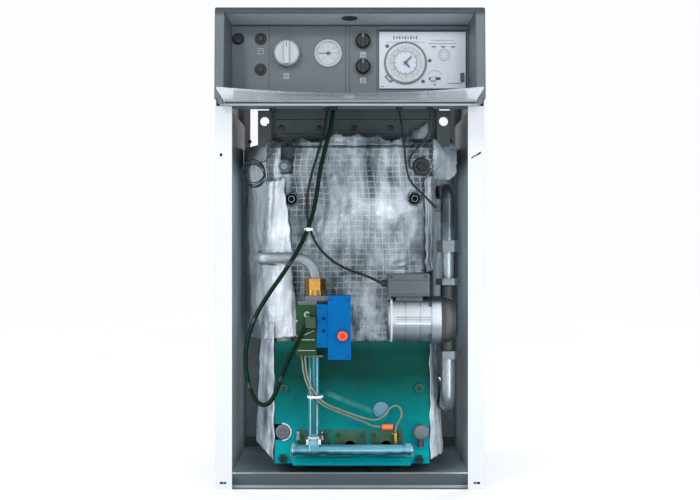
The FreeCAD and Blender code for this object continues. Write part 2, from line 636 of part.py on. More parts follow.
node(group("plate_screws",
           *([hexa("plate_bolt_%d" % i, "y", 16, 7, x, F + PL - 7, z) for i, (x, z) in
              enumerate(((-130.0, 173.0), (136.0, 174.0), (-132.0, 36.0), (136.0, 34.0)))] +
             [cyl("flange_screw_%d" % (2 * i + k), "y", 4.2, 3.5, x + (k * 2 - 1) * 23.6, F + PL - 6, 81.5)
              for i, x in enumerate(PORTS) for k in (0, 1)])), "burner_plate_screws")
node(fuse("glass_all", cyl("glass_ring", "y", 15.5, 3, 61.3, F + PL - 3, 131.4),
          cyl("glass_disc", "y", 10.8, 6, 61.3, F + PL - 4, 131.4)), "sight_glass")
node(fuse("pilot_all", cyl("pilot_tube", "z", 4.8, 22, 88.5, F + 134, 66.0),
          box("pilot_foot", 82, 89.5, F + 138, F + PL - 2.6, 84, 88)), "pilot_burner")
node(cyl("electrode_boot", "x", 6, 21, 62.5, F + 134, 99.0), "ignition_electrode")
# drain cock low on the right, with a spindle that turns
node(fuse("drain_all", spin("drain_turned", "y", [(5.06, F + 120), (11.5, F + 120), (11.5, F + PL - 0.1), (0, F + PL - 0.1),
                                                  (0, F + 142), (5.06, F + 142)], 138, 0, 92),
          cyl("drain_spout", "z", 7, 26, 138, F + 138, 60.0)), "drain_cock")
node(fuse("spindle_all", cyl("spindle_bar", "y", 5, 24, 138, F + 116, 92),
          box("spindle_head", 133.5, 142.5, F + 107, F + 117, 87.5, 96.5)), "drain_spindle")

# ---------------------------------------------------------------- gas valve
node(cut("valve_cut", box("valve_block", -103, -63, F + 62, F + 130, 244, 339), box("valve_groove_a", -104, -99, F + 60, F + 132, 276, 282),
         box("valve_groove_b", -104, -99, F + 60, F + 132, 306, 312)), "gas_valve_body")
VB = (dim("gas_button_x", -14), dim("gas_button_z", 282.6))
cover = fuse("cover_block", box("cover_column", -41.7, 1.9, F + 50, F + 126, 237, 358),
             box("cover_wing", -62.8, -41, F + 54, F + 126, 260, 342),
             cyl("cover_collar", "y", 12.2, 6, VB[0], F + 46, VB[1]))
node(cut("cover_holes", cover, cyl("cover_bore", "y", 9.4, 30, VB[0], F + 40, VB[1]),
         cyl("cover_stem_bore", "y", 3.06, 30, VB[0], F + 60, VB[1]),
         cyl("cover_hole_a", "y", 3.5, 12, -50.0, F + 50, 315.0),
         cyl("cover_hole_b", "y", 3.0, 12, -50.0, F + 50, 292.0)), "gas_valve_cover")
node(spin("gas_button_turned", "y", [(0, F + 41), (7.6, F + 41), (9.0, F + 42.4), (9.0, F + 60), (3.0, F + 60), (3.0, F + 80), (0, F + 80)],
          VB[0], 0, VB[1]), "gas_button")
node(box("outlet_flange", -88, -52, F + MT - 18, F + MT + 18, 240.1, 243.9), "valve_outlet_flange")
NUTX = dim("union_x", -67.7)
PT = dim("inlet_depth", 100)
node(fuse("inlet_flange_all", box("inlet_plate", -100, -63.2, F + 76, F + 124, 339.1, 348), box("inlet_neck", -86, -42, F + 79, F + 121, 348, 357.4)),
     "valve_inlet_flange")
node(fuse("union_all", cyl("union_tail", "z", 16, 10.2, NUTX, F + PT, 357.6), hexa("union_hex", "z", 36, 22.6, NUTX, F + PT, 367.6)),
     "union_nut")
gas = bent_path([V(GASX.v, F.v + 562, GASZ.v), V(GASX.v, F.v + PT.v, GASZ.v), V(NUTX.v, F.v + PT.v, GASZ.v), V(NUTX.v, F.v + PT.v, 390.4)],
                [30.0, 36.0])
node(fuse("gas_pipe_all", swept("gas_pipe", gas, MR.v), cyl("gas_nipple", "y", dim("gas_thread_radius", 13.2), 50, GASX, F + 562, GASZ)),
     "gas_inlet_pipe")

# ---------------------------------------------------------------- circulator pump
PZ = dim("pump_axis_z", 310.6)
PD = F + dim("pump_axis_depth", 110)
VX = dim("pump_port_x", 189.5)
motor = fuse("motor_outer",
             spin("motor_turned", "x", [(0, 70.7), (34, 70.7), (39, 74), (39, 81), (43, 81), (43, 104), (42, 104), (42, 107), (43, 107), (43, 132),
                                        (42, 132), (42, 135), (43, 135), (43, 157), (46, 157), (46, 174.8), (0, 174.8)], 0, PD, PZ),
             box("motor_pad", 88, 140, PD - 22, PD + 22, PZ + 30, PZ + 46.2))
node(cut("motor_hollow", motor, spin("motor_bore", "x", [(0, 74), (4.06, 74), (4.06, 84), (37, 84), (37, 180), (0, 180)], 0, PD, PZ)),
     "pump_motor")
node(spin("rotor_turned", "x", [(0, 76), (4, 76), (4, 88), (30, 88), (30, 150), (6, 150), (6, 178.5), (34, 178.5), (34, 188), (12, 190), (0, 190)],
          0, PD, PZ), "pump_rotor")
volute = fuse("volute_outer", spin("volute_drum", "x", [(0, 175), (46, 175), (46, 185), (43.5, 194), (39, 202), (30, 207), (0, 207)], 0, PD, PZ), cyl("volute_port", "z", 14.2, 127.4, VX, PD, 250.2))
node(cut("volute_hollow", volute, fuse("volute_tools", cyl("volute_chamber", "x", 37, 26, 174, PD, PZ), cyl("volute_bore", "z", 11, 140, VX, PD, 245))),
     "pump_volute")
node(rounded("terminal_round", box("terminal_block", 72, 153, PD - 30, PD + 30, PZ + 46.3, 400), 3, lambda e: along(e, 2, 5) or (mid(e).z > 399)),
     "pump_terminal_box")
node(cyl("terminal_gland", "x", 6.5, 10.9, 61, PD, 381), "pump_gland")
for label, z0, h in (("pump_nut_top", 377.7, 12.6), ("pump_nut_bottom", 235.0, 15.1)):
    node(hexa(label + "_hex", "z", 40, h, VX, PD, z0), label)
FPR = dim("flow_pipe_radius", 14)
flow = bent_path([V(VX.v, PD.v, 234.9), V(VX.v, PD.v, FLOWZ.v), V(FLOWX.v, F.v + 562, FLOWZ.v)], [40.0])
WTR = dim("water_thread_radius", 16.6)
node(fuse("flow_pipe_all", swept("flow_pipe_bar", flow, FPR.v), cyl("flow_nipple", "y", WTR, 50, FLOWX, F + 562, FLOWZ)), "flow_pipe")
node(cyl("upper_pipe_bar", "z", 11, 50.6, VX, PD, 390.4), "pump_upper_pipe")
node(hexa("elbow_nut_hex", "z", 38, 22.9, VX, PD, 441.1), "elbow_nut")
elbow = bent_path([V(VX.v, PD.v, 464.2), V(VX.v, PD.v, 562.0), V(VX.v, F.v + 240, 562.0), V(SX1.v + 0.3, F.v + 240, 562.0)], [30.0, 30.0])
node(swept("elbow_bar", elbow, FPR.v), "flow_elbow")
node(fuse("return_all", cyl("return_bar", "y", FPR, 562 - SY - PITCH * 5 + 3.9, RETX, F + SY + PITCH * 5 - 3.9, RETZ),
          cyl("return_nipple", "y", WTR, 50, RETX, F + 562, RETZ)), "return_pipe")

# ---------------------------------------------------------------- wiring


def spot(u, v, depth):
    """A point of the front elevation (u across, v down, at a depth) in the frame."""
    k = 1.8594 * (1 + depth / 2600.0)
    return ((u - 350.0) * k, F.v + depth, 445.3 - (v - 250.0) * k)


GLANDZ = dim("gland_bottom", 718)
exits = {"harness": (spot(333, 110, 120)[0], 120.0), "pump": (spot(327, 110, 137)[0], 137.0),
         "left": (-151.0, 146.0), "sensor": (spot(399, 110, 130)[0], 130.0), "phial": (spot(430, 110, 130)[0], 130.0)}
node(group("gland_set", *[cyl("gland_" + k, "z", 9 if k == "harness" else 6, HOODZ - GLANDZ, x, F + t_, GLANDZ)
                          for k, (x, t_) in exits.items()]), "hood_glands")


def leave(k):
    return (exits[k][0], F.v + exits[k][1], GLANDZ.v)


node(box("plug_block", -84, -65, F + 42, F + 61.8, 298, 318), "harness_plug")
node(cord("harness_bar", [leave("harness")] + [spot(*p) for p in (
    (331.5, 127, 120), (326, 145, 121), (321, 165, 122), (318, 185, 121), (315, 206, 117), (308, 230, 103), (296, 254, 82),
    (283, 274, 74), (270, 292, 72), (258, 311, 72), (250, 330, 73), (245.5, 350, 74), (245.5, 366, 76), (247.5, 380, 77),
    (250.5, 391, 78), (255, 400, 79), (261.5, 405.5, 79), (269, 404, 78), (274, 396.5, 77), (278, 386.5, 75), (283.6, 371, 71),
    (291, 354, 62), (298, 341, 54))] + [(-82.0, F.v + 52, 303.0)], 8.6), "wiring_harness")
node(cord("pump_lead_bar", [leave("pump")] + [spot(*p) for p in (
    (325.5, 126, 137), (319, 150, 138), (312, 172, 139), (307.5, 192, 138), (306.5, 211, 134), (309, 227, 127), (314.5, 241, 121),
    (323, 253, 117), (334, 262, 114), (346.5, 269, 112), (361, 274, 110.5), (373, 278.5, 110))] +
    [(60.9, F.v + 110, 381.0)], 5.0), "pump_cable")
node(cord("ignition_bar", [(-93.0, F.v + 80, 243.9)] + [spot(*p) for p in (
    (302.2, 361, 79), (303.5, 373, 78), (308, 387, 77), (315, 398, 78), (324, 406, 83), (335.5, 411, 93), (349, 416, 106),
    (363, 421.5, 119), (373, 426.5, 129))] + [(61.9, F.v + 134, 99.0)], 3.6), "ignition_lead")
node(cord("flame_bar", [(-86.0, F.v + 74, 243.9)] + [spot(*p) for p in (
    (305.4, 361.5, 74), (306.4, 373, 74), (310.4, 385.8, 74), (316.9, 396.2, 75), (325.2, 403.7, 80), (336.5, 408.6, 90),
    (350, 413.4, 103), (363, 418, 114.5), (374, 420.5, 123), (382, 418, 129.5), (387, 411.5, 131.5), (391.8, 406.2, 132),
    (397.2, 405.2, 132.5), (401.3, 409.3, 133), (402.0, 416, 133.7), (397.6, 423, 134))] +
    [(88.8, F.v + 134, 96.5), (88.5, F.v + 134, 88.1)], 3.6), "flame_sensor_lead")
node(cut("coil_ring", cyl("coil_out", "y", 28, 12, -189.0, F + 144, 594.0), cyl("coil_in", "y", 17, 20, -189.0, F + 140, 594.0)),
     "capillary_coil")
node(cord("coil_tail_bar", [leave("left"), (-151.5, F.v + 147, 700.0), (-153.0, F.v + 149, 676.0), (-152.5, F.v + 150, 652.0),
                            (-154.5, F.v + 150.5, 632.0), (-164.0, F.v + 150.5, 619.0), (-174.0, F.v + 150, 611.0)], 2.0), "capillary_tail")
node(box("clip_block", 166, VX - FPR - 0.1, F + 103, F + 117, 520, 534), "pipe_sensor_clip")
node(cord("sensor_bar", [leave("sensor")] + [spot(*p) for p in (
    (401.5, 124, 131), (403.5, 139, 133), (405, 155, 136), (406.5, 170, 138), (410.5, 182, 136), (418, 190, 130), (426, 197, 121))] +
    [(165.9, F.v + 111, 527.0)], 4.0), "pipe_sensor_cable")
node(cord("phial_bar", [leave("phial")] + [spot(*p) for p in (
    (430.6, 122, 131), (429, 134, 136), (422.5, 144, 143), (414, 151.5, 150), (409, 158.5, 156), (409, 165.5, 161), (413, 170, 165))] +
    [(136.0, F.v + 167, 608.0)], 3.6), "thermostat_capillary")

# ---------------------------------------------------------------- sets of like pieces
SETS = {
    "side_liners": ("side_liner_left", "side_liner_right"),
    "cast_sections": ("front_section", "section_2", "section_3", "section_4", "rear_section"),
    "lifting_lugs": ("lifting_lugs_left", "lifting_lugs_right"),
    "flue_hood": ("flue_collector", "flue_socket"),
    "burner_tubes": ("burner_tube_left", "burner_tube_centre", "burner_tube_right"),
    "gas_manifold_set": ("gas_manifold", "gas_injectors", "gas_riser"),
    "control_switches": ("thermostat_body", "selector_switches", "button_bezels"),
    "pipe_fittings": ("pump_nut_top", "pump_nut_bottom", "elbow_nut", "valve_inlet_flange", "valve_outlet_flange"),
    "water_pipes": ("flow_pipe", "pump_upper_pipe", "flow_elbow", "return_pipe"),
    "cable_glands": ("hood_glands", "pump_gland", "harness_plug", "pipe_sensor_clip"),
    "fasteners": ("tie_rods", "burner_plate_screws", "section_plug", "sensor_pocket"),
}
for label, members in SETS.items():
    links = [o for k, o in NODES if k in members]
    if len(links) != len(members):
        raise SystemExit("set is incomplete: " + label)
    NODES = [(k, o) for k, o in NODES if k not in members]
    node(group("set_" + label, *links), label)

# ---------------------------------------------------------------- check and write
doc.recompute()
bad = [o.Name for o in doc.Objects if "Invalid" in o.State or "Error" in o.State]
if bad:
    raise SystemExit("failed objects: " + ", ".join(bad))
for label, o in NODES:
    s = o.Shape
    if s.isNull() or not s.isValid() or not s.Solids:
        raise SystemExit("bad shape: " + label)
os.makedirs("parts", exist_ok=True)
for label, o in NODES:
    o.Shape.exportStep("parts/%s.step" % label)
    print("%-24s solids %d  volume %10.0f mm3" % (label, len(o.Shape.Solids), o.Shape.Volume))
print("nodes", len(NODES), "cells", len(CELLS))
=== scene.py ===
import bpy, bmesh, math, random
from mathutils import Vector, Matrix, noise


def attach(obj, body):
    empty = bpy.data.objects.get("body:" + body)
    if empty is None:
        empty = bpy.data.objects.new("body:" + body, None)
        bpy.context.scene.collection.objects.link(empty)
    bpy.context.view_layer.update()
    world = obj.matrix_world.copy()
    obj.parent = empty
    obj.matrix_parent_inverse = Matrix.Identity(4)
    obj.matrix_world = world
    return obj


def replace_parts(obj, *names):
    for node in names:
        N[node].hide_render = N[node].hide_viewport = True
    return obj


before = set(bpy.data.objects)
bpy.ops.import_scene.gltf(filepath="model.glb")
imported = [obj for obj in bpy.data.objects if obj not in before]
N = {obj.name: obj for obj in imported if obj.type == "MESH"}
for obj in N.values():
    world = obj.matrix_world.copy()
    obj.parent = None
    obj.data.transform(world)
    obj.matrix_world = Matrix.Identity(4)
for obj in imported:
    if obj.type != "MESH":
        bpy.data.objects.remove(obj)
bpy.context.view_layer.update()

random.seed(7)
scene = bpy.context.scene
scene.view_settings.view_transform = "Standard"
MM = 0.001


def spot(u, v, depth):
    """A point of the front elevation (u across, v down, at a depth in mm) in metres."""
    k = 1.8594 * (1 + depth / 2600.0)
    return Vector(((u - 350.0) * k * MM, (depth - 280.0) * MM, (445.3 - (v - 250.0) * k) * MM))


def P(x, t, z):
    """Millimetres: across, depth behind the front flanges, height."""
    return Vector((x * MM, (t - 280.0) * MM, z * MM))


# ------------------------------------------------------------------ materials
class Tree:
    """A small builder for a procedural material."""

    def __init__(self, name):
        self.m = bpy.data.materials.new(name)
        self.m.use_nodes = True
        self.t = self.m.node_tree
        self.b = self.t.nodes["Principled BSDF"]
        self.xyz = self.add("ShaderNodeTexCoord").outputs["Object"]

    def add(self, kind, **props):
        nd = self.t.nodes.new(kind)
        for k, v in props.items():
            setattr(nd, k, v)
        return nd

    def link(self, a, b):
        self.t.links.new(a, b)

    def scaled(self, sx, sy, sz, vec=None):
        mp = self.add("ShaderNodeMapping")
        self.link(vec or self.xyz, mp.inputs["Vector"])
        mp.inputs["Scale"].default_value = (sx, sy, sz)
        return mp.outputs["Vector"]

    def noise(self, scale, detail=3.0, rough=0.5, vec=None, distort=0.0):
        nd = self.add("ShaderNodeTexNoise")
        self.link(vec or self.xyz, nd.inputs["Vector"])
        nd.inputs["Scale"].default_value = scale
        nd.inputs["Detail"].default_value = detail
        nd.inputs["Roughness"].default_value = rough
        nd.inputs["Distortion"].default_value = distort
        return nd.outputs["Fac"]

    def ramp(self, fac, stops, linear=True):
        nd = self.add("ShaderNodeValToRGB")
        self.link(fac, nd.inputs["Fac"])
        el = nd.color_ramp.elements
        while len(el) < len(stops):
            el.new(0.5)
        for e, (p, c) in zip(el, stops):
            e.position = p
            e.color = (c, c, c, 1) if isinstance(c, (int, float)) else (c[0], c[1], c[2], 1)
        return nd.outputs["Color"]

    def math(self, op, a, b=None, clamp=False):
        nd = self.add("ShaderNodeMath", operation=op, use_clamp=clamp)
        for i, e in enumerate((a, b)):
            if e is None:
                continue
            if isinstance(e, (int, float)):
                nd.inputs[i].default_value = e
            else:
                self.link(e, nd.inputs[i])
        return nd.outputs[0]

    def mix(self, fac, a, b, mode="MIX"):
        nd = self.add("ShaderNodeMix", data_type="RGBA", blend_type=mode)
        for sock, e in (("Factor", fac), ("A", a), ("B", b)):
            s = [i for i in nd.inputs if i.name == sock and i.type == ("VALUE" if sock == "Factor" else "RGBA")][0]
            if isinstance(e, (int, float)):
                s.default_value = e
            elif isinstance(e, (tuple, list)):
                s.default_value = (e[0], e[1], e[2], 1)
            else:
                self.link(e, s)
        return [o for o in nd.outputs if o.type == "RGBA"][0]

    def edges(self, radius):
        """Soft edge normals and a mask of the convex and concave edges."""
        bv = self.add("ShaderNodeBevel", samples=4)
        bv.inputs["Radius"].default_value = radius
        g = self.add("ShaderNodeNewGeometry")
        dot = self.add("ShaderNodeVectorMath", operation="DOT_PRODUCT")
        self.link(bv.outputs["Normal"], dot.inputs[0])
        self.link(g.outputs["Normal"], dot.inputs[1])
        return bv.outputs["Normal"], self.math("SUBTRACT", 1.0, dot.outputs["Value"], True)

    def bump(self, height, strength, distance, normal=None):
        nd = self.add("ShaderNodeBump")
        nd.inputs["Strength"].default_value = strength
        nd.inputs["Distance"].default_value = distance
        self.link(height, nd.inputs["Height"])
        if normal is not None:
            self.link(normal, nd.inputs["Normal"])
        return nd.outputs["Normal"]


def surface(name, base, rough, metal=0.0, var=0.06, var_scale=9.0, grain=600.0, grain_depth=0.00003, edge=0.0012, wear=0.0,
            wear_color=None, dirt=0.0, coat=0.0, spec=0.5, rough_var=0.08, stretch=None):
    """A painted, moulded or metal finish: tone drift, grain, softened edges, edge wear and settled dust."""
    t = Tree(name)
    tone = t.noise(var_scale, 4.0, 0.6)
    lo = tuple(max(0.0, c * (1 - var)) for c in base)
    hi = tuple(min(1.0, c * (1 + var)) for c in base)
    col = t.ramp(tone, [(0.3, lo), (0.7, hi)])
    fine_vec = t.scaled(*stretch) if stretch else None
    fine = t.noise(grain, 2.0, 0.6, vec=fine_vec)
    normal, mask = t.edges(edge)
    if wear > 0:
        wm = t.math("MULTIPLY", t.math("MULTIPLY", mask, 6.0, True), t.math("MULTIPLY", t.noise(60.0, 4.0, 0.7), 1.6, True), True)
        col = t.mix(t.math("MULTIPLY", wm, wear, True), col, wear_color or tuple(min(1, c * 1.7 + 0.08) for c in base))
    if dirt > 0:
        dm = t.ramp(t.noise(14.0, 6.0, 0.7), [(0.45, 0.0), (0.75, 1.0)])
        col = t.mix(t.math("MULTIPLY", dm, dirt), col, tuple(c * 0.45 + 0.02 for c in base))
    t.link(col, t.b.inputs["Base Color"])
    rr = t.math("ADD", t.math("MULTIPLY", t.noise(var_scale * 5, 4.0, 0.6), rough_var * 2), max(0.02, rough - rough_var), True)
    t.link(rr, t.b.inputs["Roughness"])
    t.b.inputs["Metallic"].default_value = metal
    t.b.inputs["Specular IOR Level"].default_value = spec
    if coat:
        t.b.inputs["Coat Weight"].default_value = coat
        t.b.inputs["Coat Roughness"].default_value = 0.06
    t.link(t.bump(fine, 0.5, grain_depth, normal), t.b.inputs["Normal"])
    return t.m


def lin(r, g, b):
    """sRGB 0-255 to linear."""
    f = lambda c: c / 12.92 if c <= 0.04045 else ((c + 0.055) / 1.055) ** 2.4
    return tuple(f(c / 255.0) for c in (r, g, b))


M = {}
M["white"] = surface("white_enamel", lin(208, 212, 218), 0.38, var=0.015, grain=260, grain_depth=0.00002, edge=0.0012, wear=0.15,
                     wear_color=lin(205, 208, 212), coat=0.15)
M["rail"] = surface("rail_paint", lin(168, 178, 185), 0.42, var=0.04, grain=300, edge=0.001, wear=0.2)
M["panel"] = surface("panel_plastic", lin(98, 108, 115), 0.44, var=0.03, var_scale=4, grain=1600, grain_depth=0.00004, edge=0.001)
M["black"] = surface("black_plastic", lin(24, 26, 28), 0.38, var=0.2, var_scale=30, grain=900, edge=0.0008, wear=0.25, wear_color=lin(90, 94, 98))
M["pale"] = surface("pale_plastic", lin(188, 193, 200), 0.42, var=0.04, var_scale=12, grain=1200, edge=0.001, wear=0.05)
M["timer"] = surface("timer_plastic", lin(204, 210, 221), 0.42, var=0.025, var_scale=14, grain=1200, edge=0.001)
M["iron"] = surface("painted_iron", lin(52, 60, 66), 0.52, var=0.25, var_scale=20, grain=160, grain_depth=0.0004, edge=0.0022, wear=0.35,
                    wear_color=lin(120, 126, 130), dirt=0.3)
M["volute"] = surface("cast_volute", lin(15, 20, 22), 0.6, var=0.25, var_scale=22, grain=130, grain_depth=0.0006, edge=0.003, wear=0.4,
                      wear_color=lin(128, 134, 138), dirt=0.25)
M["sheet"] = surface("dark_sheet", lin(60, 70, 74), 0.4, metal=0.35, var=0.25, var_scale=8, grain=300, edge=0.0015, dirt=0.35, wear=0.3)
M["steel"] = surface("plated_steel", lin(176, 180, 182), 0.3, metal=0.95, var=0.10, var_scale=40, grain=300, edge=0.0008, wear=0.3, dirt=0.15)
M["brass"] = surface("machined_brass", lin(164, 126, 62), 0.28, metal=1.0, var=0.12, var_scale=50, grain=400, edge=0.001, wear=0.5,
                     wear_color=lin(250, 222, 140), dirt=0.25)
M["orange_deep"] = surface("orange_face", lin(206, 56, 6), 0.4, var=0.06, var_scale=40, grain=800, edge=0.0006, spec=0.2)
M["orange"] = surface("orange_plastic", lin(226, 104, 58), 0.36, var=0.06, var_scale=40, grain=800, edge=0.001, coat=0.2)
M["green"] = surface("green_casting", lin(8, 56, 24), 0.45, var=0.25, var_scale=30, grain=240, grain_depth=0.0003, edge=0.0014, wear=0.45,
                     wear_color=lin(70, 120, 76), dirt=0.3, spec=0.2)
M["blue"] = surface("blue_plastic", lin(0, 90, 150), 0.6, var=0.05, var_scale=18, grain=1000, edge=0.0018, wear=0.2, wear_color=lin(30, 120, 190), spec=0.05)
M["blue_deep"] = surface("blue_shade", lin(0, 62, 122), 0.45, var=0.06, var_scale=40, grain=900, edge=0.0004, spec=0.3)
M["pipe"] = surface("grey_tube", lin(124, 132, 139), 0.36, metal=0.5, var=0.12, var_scale=26, grain=300, edge=0.0005, dirt=0.2)
M["box"] = surface("terminal_plastic", lin(58, 68, 74), 0.45, var=0.06, var_scale=20, grain=1000, edge=0.0016, wear=0.1)
M["green_cable"] = surface("green_sleeve", lin(0, 27, 16), 0.4, var=0.25, var_scale=50, grain=900, grain_depth=0.0001, edge=0.0002, spec=0.08)
M["wrap"] = surface("tape_wrap", lin(3, 16, 12), 0.3, var=0.2, var_scale=90, grain=600, grain_depth=0.0002, edge=0.0003, spec=0.4)
M["dark_cable"] = surface("dark_sheath", lin(20, 26, 29), 0.42, var=0.15, var_scale=50, grain=900, edge=0.0002, spec=0.2)
M["cream_cable"] = surface("cream_sleeve", lin(116, 113, 98), 0.5, var=0.2, var_scale=60, grain=900, edge=0.0002)
M["capillary"] = surface("drawn_tube", lin(26, 31, 34), 0.4, metal=0.3, var=0.15, var_scale=60, grain=600, edge=0.0002)

# ------------------------------------------------------------------ camera, light, floor
cam = bpy.data.objects.new("camera", bpy.data.cameras.new("camera"))
cam.data.sensor_fit = "HORIZONTAL"
cam.data.sensor_width = 36.0
cam.data.lens = 71.91
cam.data.clip_end = 50
cam.location = (0, -2.880, 0.4453)
cam.rotation_euler = (math.radians(90), 0, 0)
scene.collection.objects.link(cam)
scene.camera = cam

world = bpy.data.worlds.new("studio")
world.use_nodes = True
world.node_tree.nodes["Background"].inputs["Color"].default_value = (0.97, 0.985, 1.0, 1)
world.node_tree.nodes["Background"].inputs["Strength"].default_value = 1.0
scene.world = world


def area(name, loc, target, size, power, color=(1, 1, 1)):
    d = bpy.data.lights.new(name, "AREA")
    d.shape = "RECTANGLE"
    d.size, d.size_y = size
    d.energy = power
    d.color = color
    o = bpy.data.objects.new(name, d)
    o.location = loc
    o.rotation_euler = (Vector(target) - Vector(loc)).to_track_quat("-Z", "Y").to_euler()
    scene.collection.objects.link(o)
    return o


area("key", (-1.2, -3.1, 1.75), (0, 0, 0.5), (0.3, 0.3), 23, (1.0, 0.99, 0.97))
area("fill", (1.15, -3.1, 1.6), (0.0, 0, 0.5), (0.5, 0.5), 14.5, (0.96, 0.98, 1.0))
area("top", (0, 0.4, 2.4), (0, 0.1, 0.6), (1.6, 1.6), 7)
for side in (-1, 1):
    for name, loc, target, size, power in (("bay", (-0.226, -0.258, 0.36), (0.235, 0.0, 0.36), (0.014, 0.66), 0.55),
                                           ("wall", (0.206, 0.06, 0.345), (0.236, 0.06, 0.345), (0.36, 0.66), 0.12),
                                           ("rear", (0.212, 0.12, 0.345), (0.212, 0.27, 0.345), (0.03, 0.62), 0.03),
                                           ("cheek", (0.227, 0.0, 0.47), (0.1, 0.0, 0.47), (0.22, 0.34), 0.06)):
        o = area("%s_%s" % (name, "left" if side < 0 else "right"), (side * loc[0], loc[1], loc[2]), (side * target[0], target[1], target[2]), size, power * (1.12 if side < 0 else 0.86), (0.95, 0.98, 1.0))
        o.visible_camera = False
area("low", (0, -1.9, 0.10), (0, -0.25, 0.87), (1.2, 0.3), 3.5, (0.97, 0.99, 1.0))

fm = Tree("floor_paper")
fm.link(fm.ramp(fm.noise(1.5, 3.0), [(0.3, (0.90, 0.91, 0.92)), (0.7, (0.94, 0.945, 0.95))]), fm.b.inputs["Base Color"])
fm.b.inputs["Roughness"].default_value = 0.8
fm.b.inputs["Emission Color"].default_value = (1, 1, 1, 1)
fm.b.inputs["Emission Strength"].default_value = 0.08
me = bpy.data.meshes.new("floor")
me.from_pydata([(-12, -9, 0), (12, -9, 0), (12, 14, 0), (-12, 14, 0)], [], [(0, 1, 2, 3)])
floor = bpy.data.objects.new("floor", me)
me.materials.append(fm.m)
scene.collection.objects.link(floor)


# ------------------------------------------------------------------ mesh helpers
def put(name, bm, material, body="cabinet", smooth=True, angle=40):
    me = bpy.data.meshes.new(name)
    bm.normal_update()
    bm.to_mesh(me)
    bm.free()
    o = bpy.data.objects.new(name, me)
    scene.collection.objects.link(o)
    for m in (material if isinstance(material, (list, tuple)) else [material]):
        me.materials.append(m)
    if smooth:
        for p in me.polygons:
            p.use_smooth = True
        me.set_sharp_from_angle(angle=math.radians(angle))
    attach(o, body)
    return o


def bevelled(o, width, segments=2, limit=35):
    b = o.modifiers.new("edge", "BEVEL")
    b.width = width
    b.segments = segments
    b.limit_method = "ANGLE"
    b.angle_limit = math.radians(limit)
    b.harden_normals = False
    return o


def add_box(bm, lo, hi, mi=0):
    x0, y0, z0 = lo
    x1, y1, z1 = hi
    vs = [bm.verts.new(c) for c in ((x0, y0, z0), (x1, y0, z0), (x1, y1, z0), (x0, y1, z0), (x0, y0, z1), (x1, y0, z1), (x1, y1, z1), (x0, y1, z1))]
    for f in ((0, 3, 2, 1), (4, 5, 6, 7), (0, 1, 5, 4), (1, 2, 6, 5), (2, 3, 7, 6), (3, 0, 4, 7)):
        bm.faces.new([vs[i] for i in f]).material_index = mi
    return vs


def add_turned(bm, origin, axis, prof, seg=48, mi=0, side=None):
    """A turned form: prof is (distance along axis, radius), closed at both ends."""
    axis = Vector(axis).normalized()
    u = axis.orthogonal().normalized() if side is None else Vector(side).normalized()
    w = axis.cross(u)
    rings = []
    for d, r in prof:
        c = Vector(origin) + axis * d
        if r < 1e-7:
            rings.append([bm.verts.new(c)])
        else:
            rings.append([bm.verts.new(c + (u * math.cos(a) + w * math.sin(a)) * r) for a in (2 * math.pi * i / seg for i in range(seg))])
    for A, B in zip(rings, rings[1:]):
        for i in range(seg):
            j = (i + 1) % seg
            q = [A[i % len(A)], A[j % len(A)], B[j % len(B)], B[i % len(B)]]
            q = [v for k, v in enumerate(q) if v not in q[:k]]
            if len(q) > 2:
                bm.faces.new(q).material_index = mi
    for ring, flip in ((rings[0], True), (rings[-1], False)):
        if len(ring) > 2:
            bm.faces.new(list(reversed(ring)) if flip else ring).material_index = mi
    return rings


def turned(name, origin, axis, prof, material, body="cabinet", seg=48, angle=35):
    bm = bmesh.new()
    add_turned(bm, origin, axis, prof, seg)
    bmesh.ops.recalc_face_normals(bm, faces=bm.faces)
    return put(name, bm, material, body, angle=angle)


def bar(bm, x, z, w, h, t0, t1, angle=0.0, mi=0, lip=0.25):
    """A small block on a face seen from the front, chamfered towards its front."""
    ca, sa = math.cos(angle), math.sin(angle)
    tip = min(lip, w * 0.3, h * 0.3)

    def ring(dw, dh, t):
        return [bm.verts.new(P(x + (u * (w / 2 - dw)) * ca - (v * (h / 2 - dh)) * sa, t, z + (u * (w / 2 - dw)) * sa + (v * (h / 2 - dh)) * ca))
                for u, v in ((-1, -1), (1, -1), (1, 1), (-1, 1))]
    back, mid, front = ring(0, 0, t1), ring(0, 0, t0 + tip), ring(tip, tip, t0)
    for A, B in ((back, mid), (mid, front)):
        for i in range(4):
            bm.faces.new((A[i], A[(i + 1) % 4], B[(i + 1) % 4], B[i])).material_index = mi
    bm.faces.new(front).material_index = mi
    bm.faces.new(list(reversed(back))).material_index = mi


def annulus(bm, x, z, r0, r1, t0, t1, seg=64, mi=0, a0=0.0, a1=2 * math.pi):
    """A flat ring or arc standing on a face."""
    whole = abs(a1 - a0 - 2 * math.pi) < 1e-6
    cnt = seg if whole else seg + 1
    g = []
    for i in range(cnt):
        a = a0 + (a1 - a0) * i / seg
        c, s = math.cos(a), math.sin(a)
        g.append([bm.verts.new(P(x + r * c, t, z + r * s)) for r, t in ((r0, t1), (r0, t0), (r1, t0), (r1, t1))])
    for i in range(seg):
        A, B = g[i], g[(i + 1) % cnt]
        for k in range(4):
            bm.faces.new((A[k], A[(k + 1) % 4], B[(k + 1) % 4], B[k])).material_index = mi
    if not whole:
        bm.faces.new(list(reversed(g[0]))).material_index = mi
        bm.faces.new(g[-1]).material_index = mi


def closed(name, bm, material, body="cabinet", angle=35):
    bmesh.ops.recalc_face_normals(bm, faces=bm.faces)
    return put(name, bm, material, body, angle=angle)


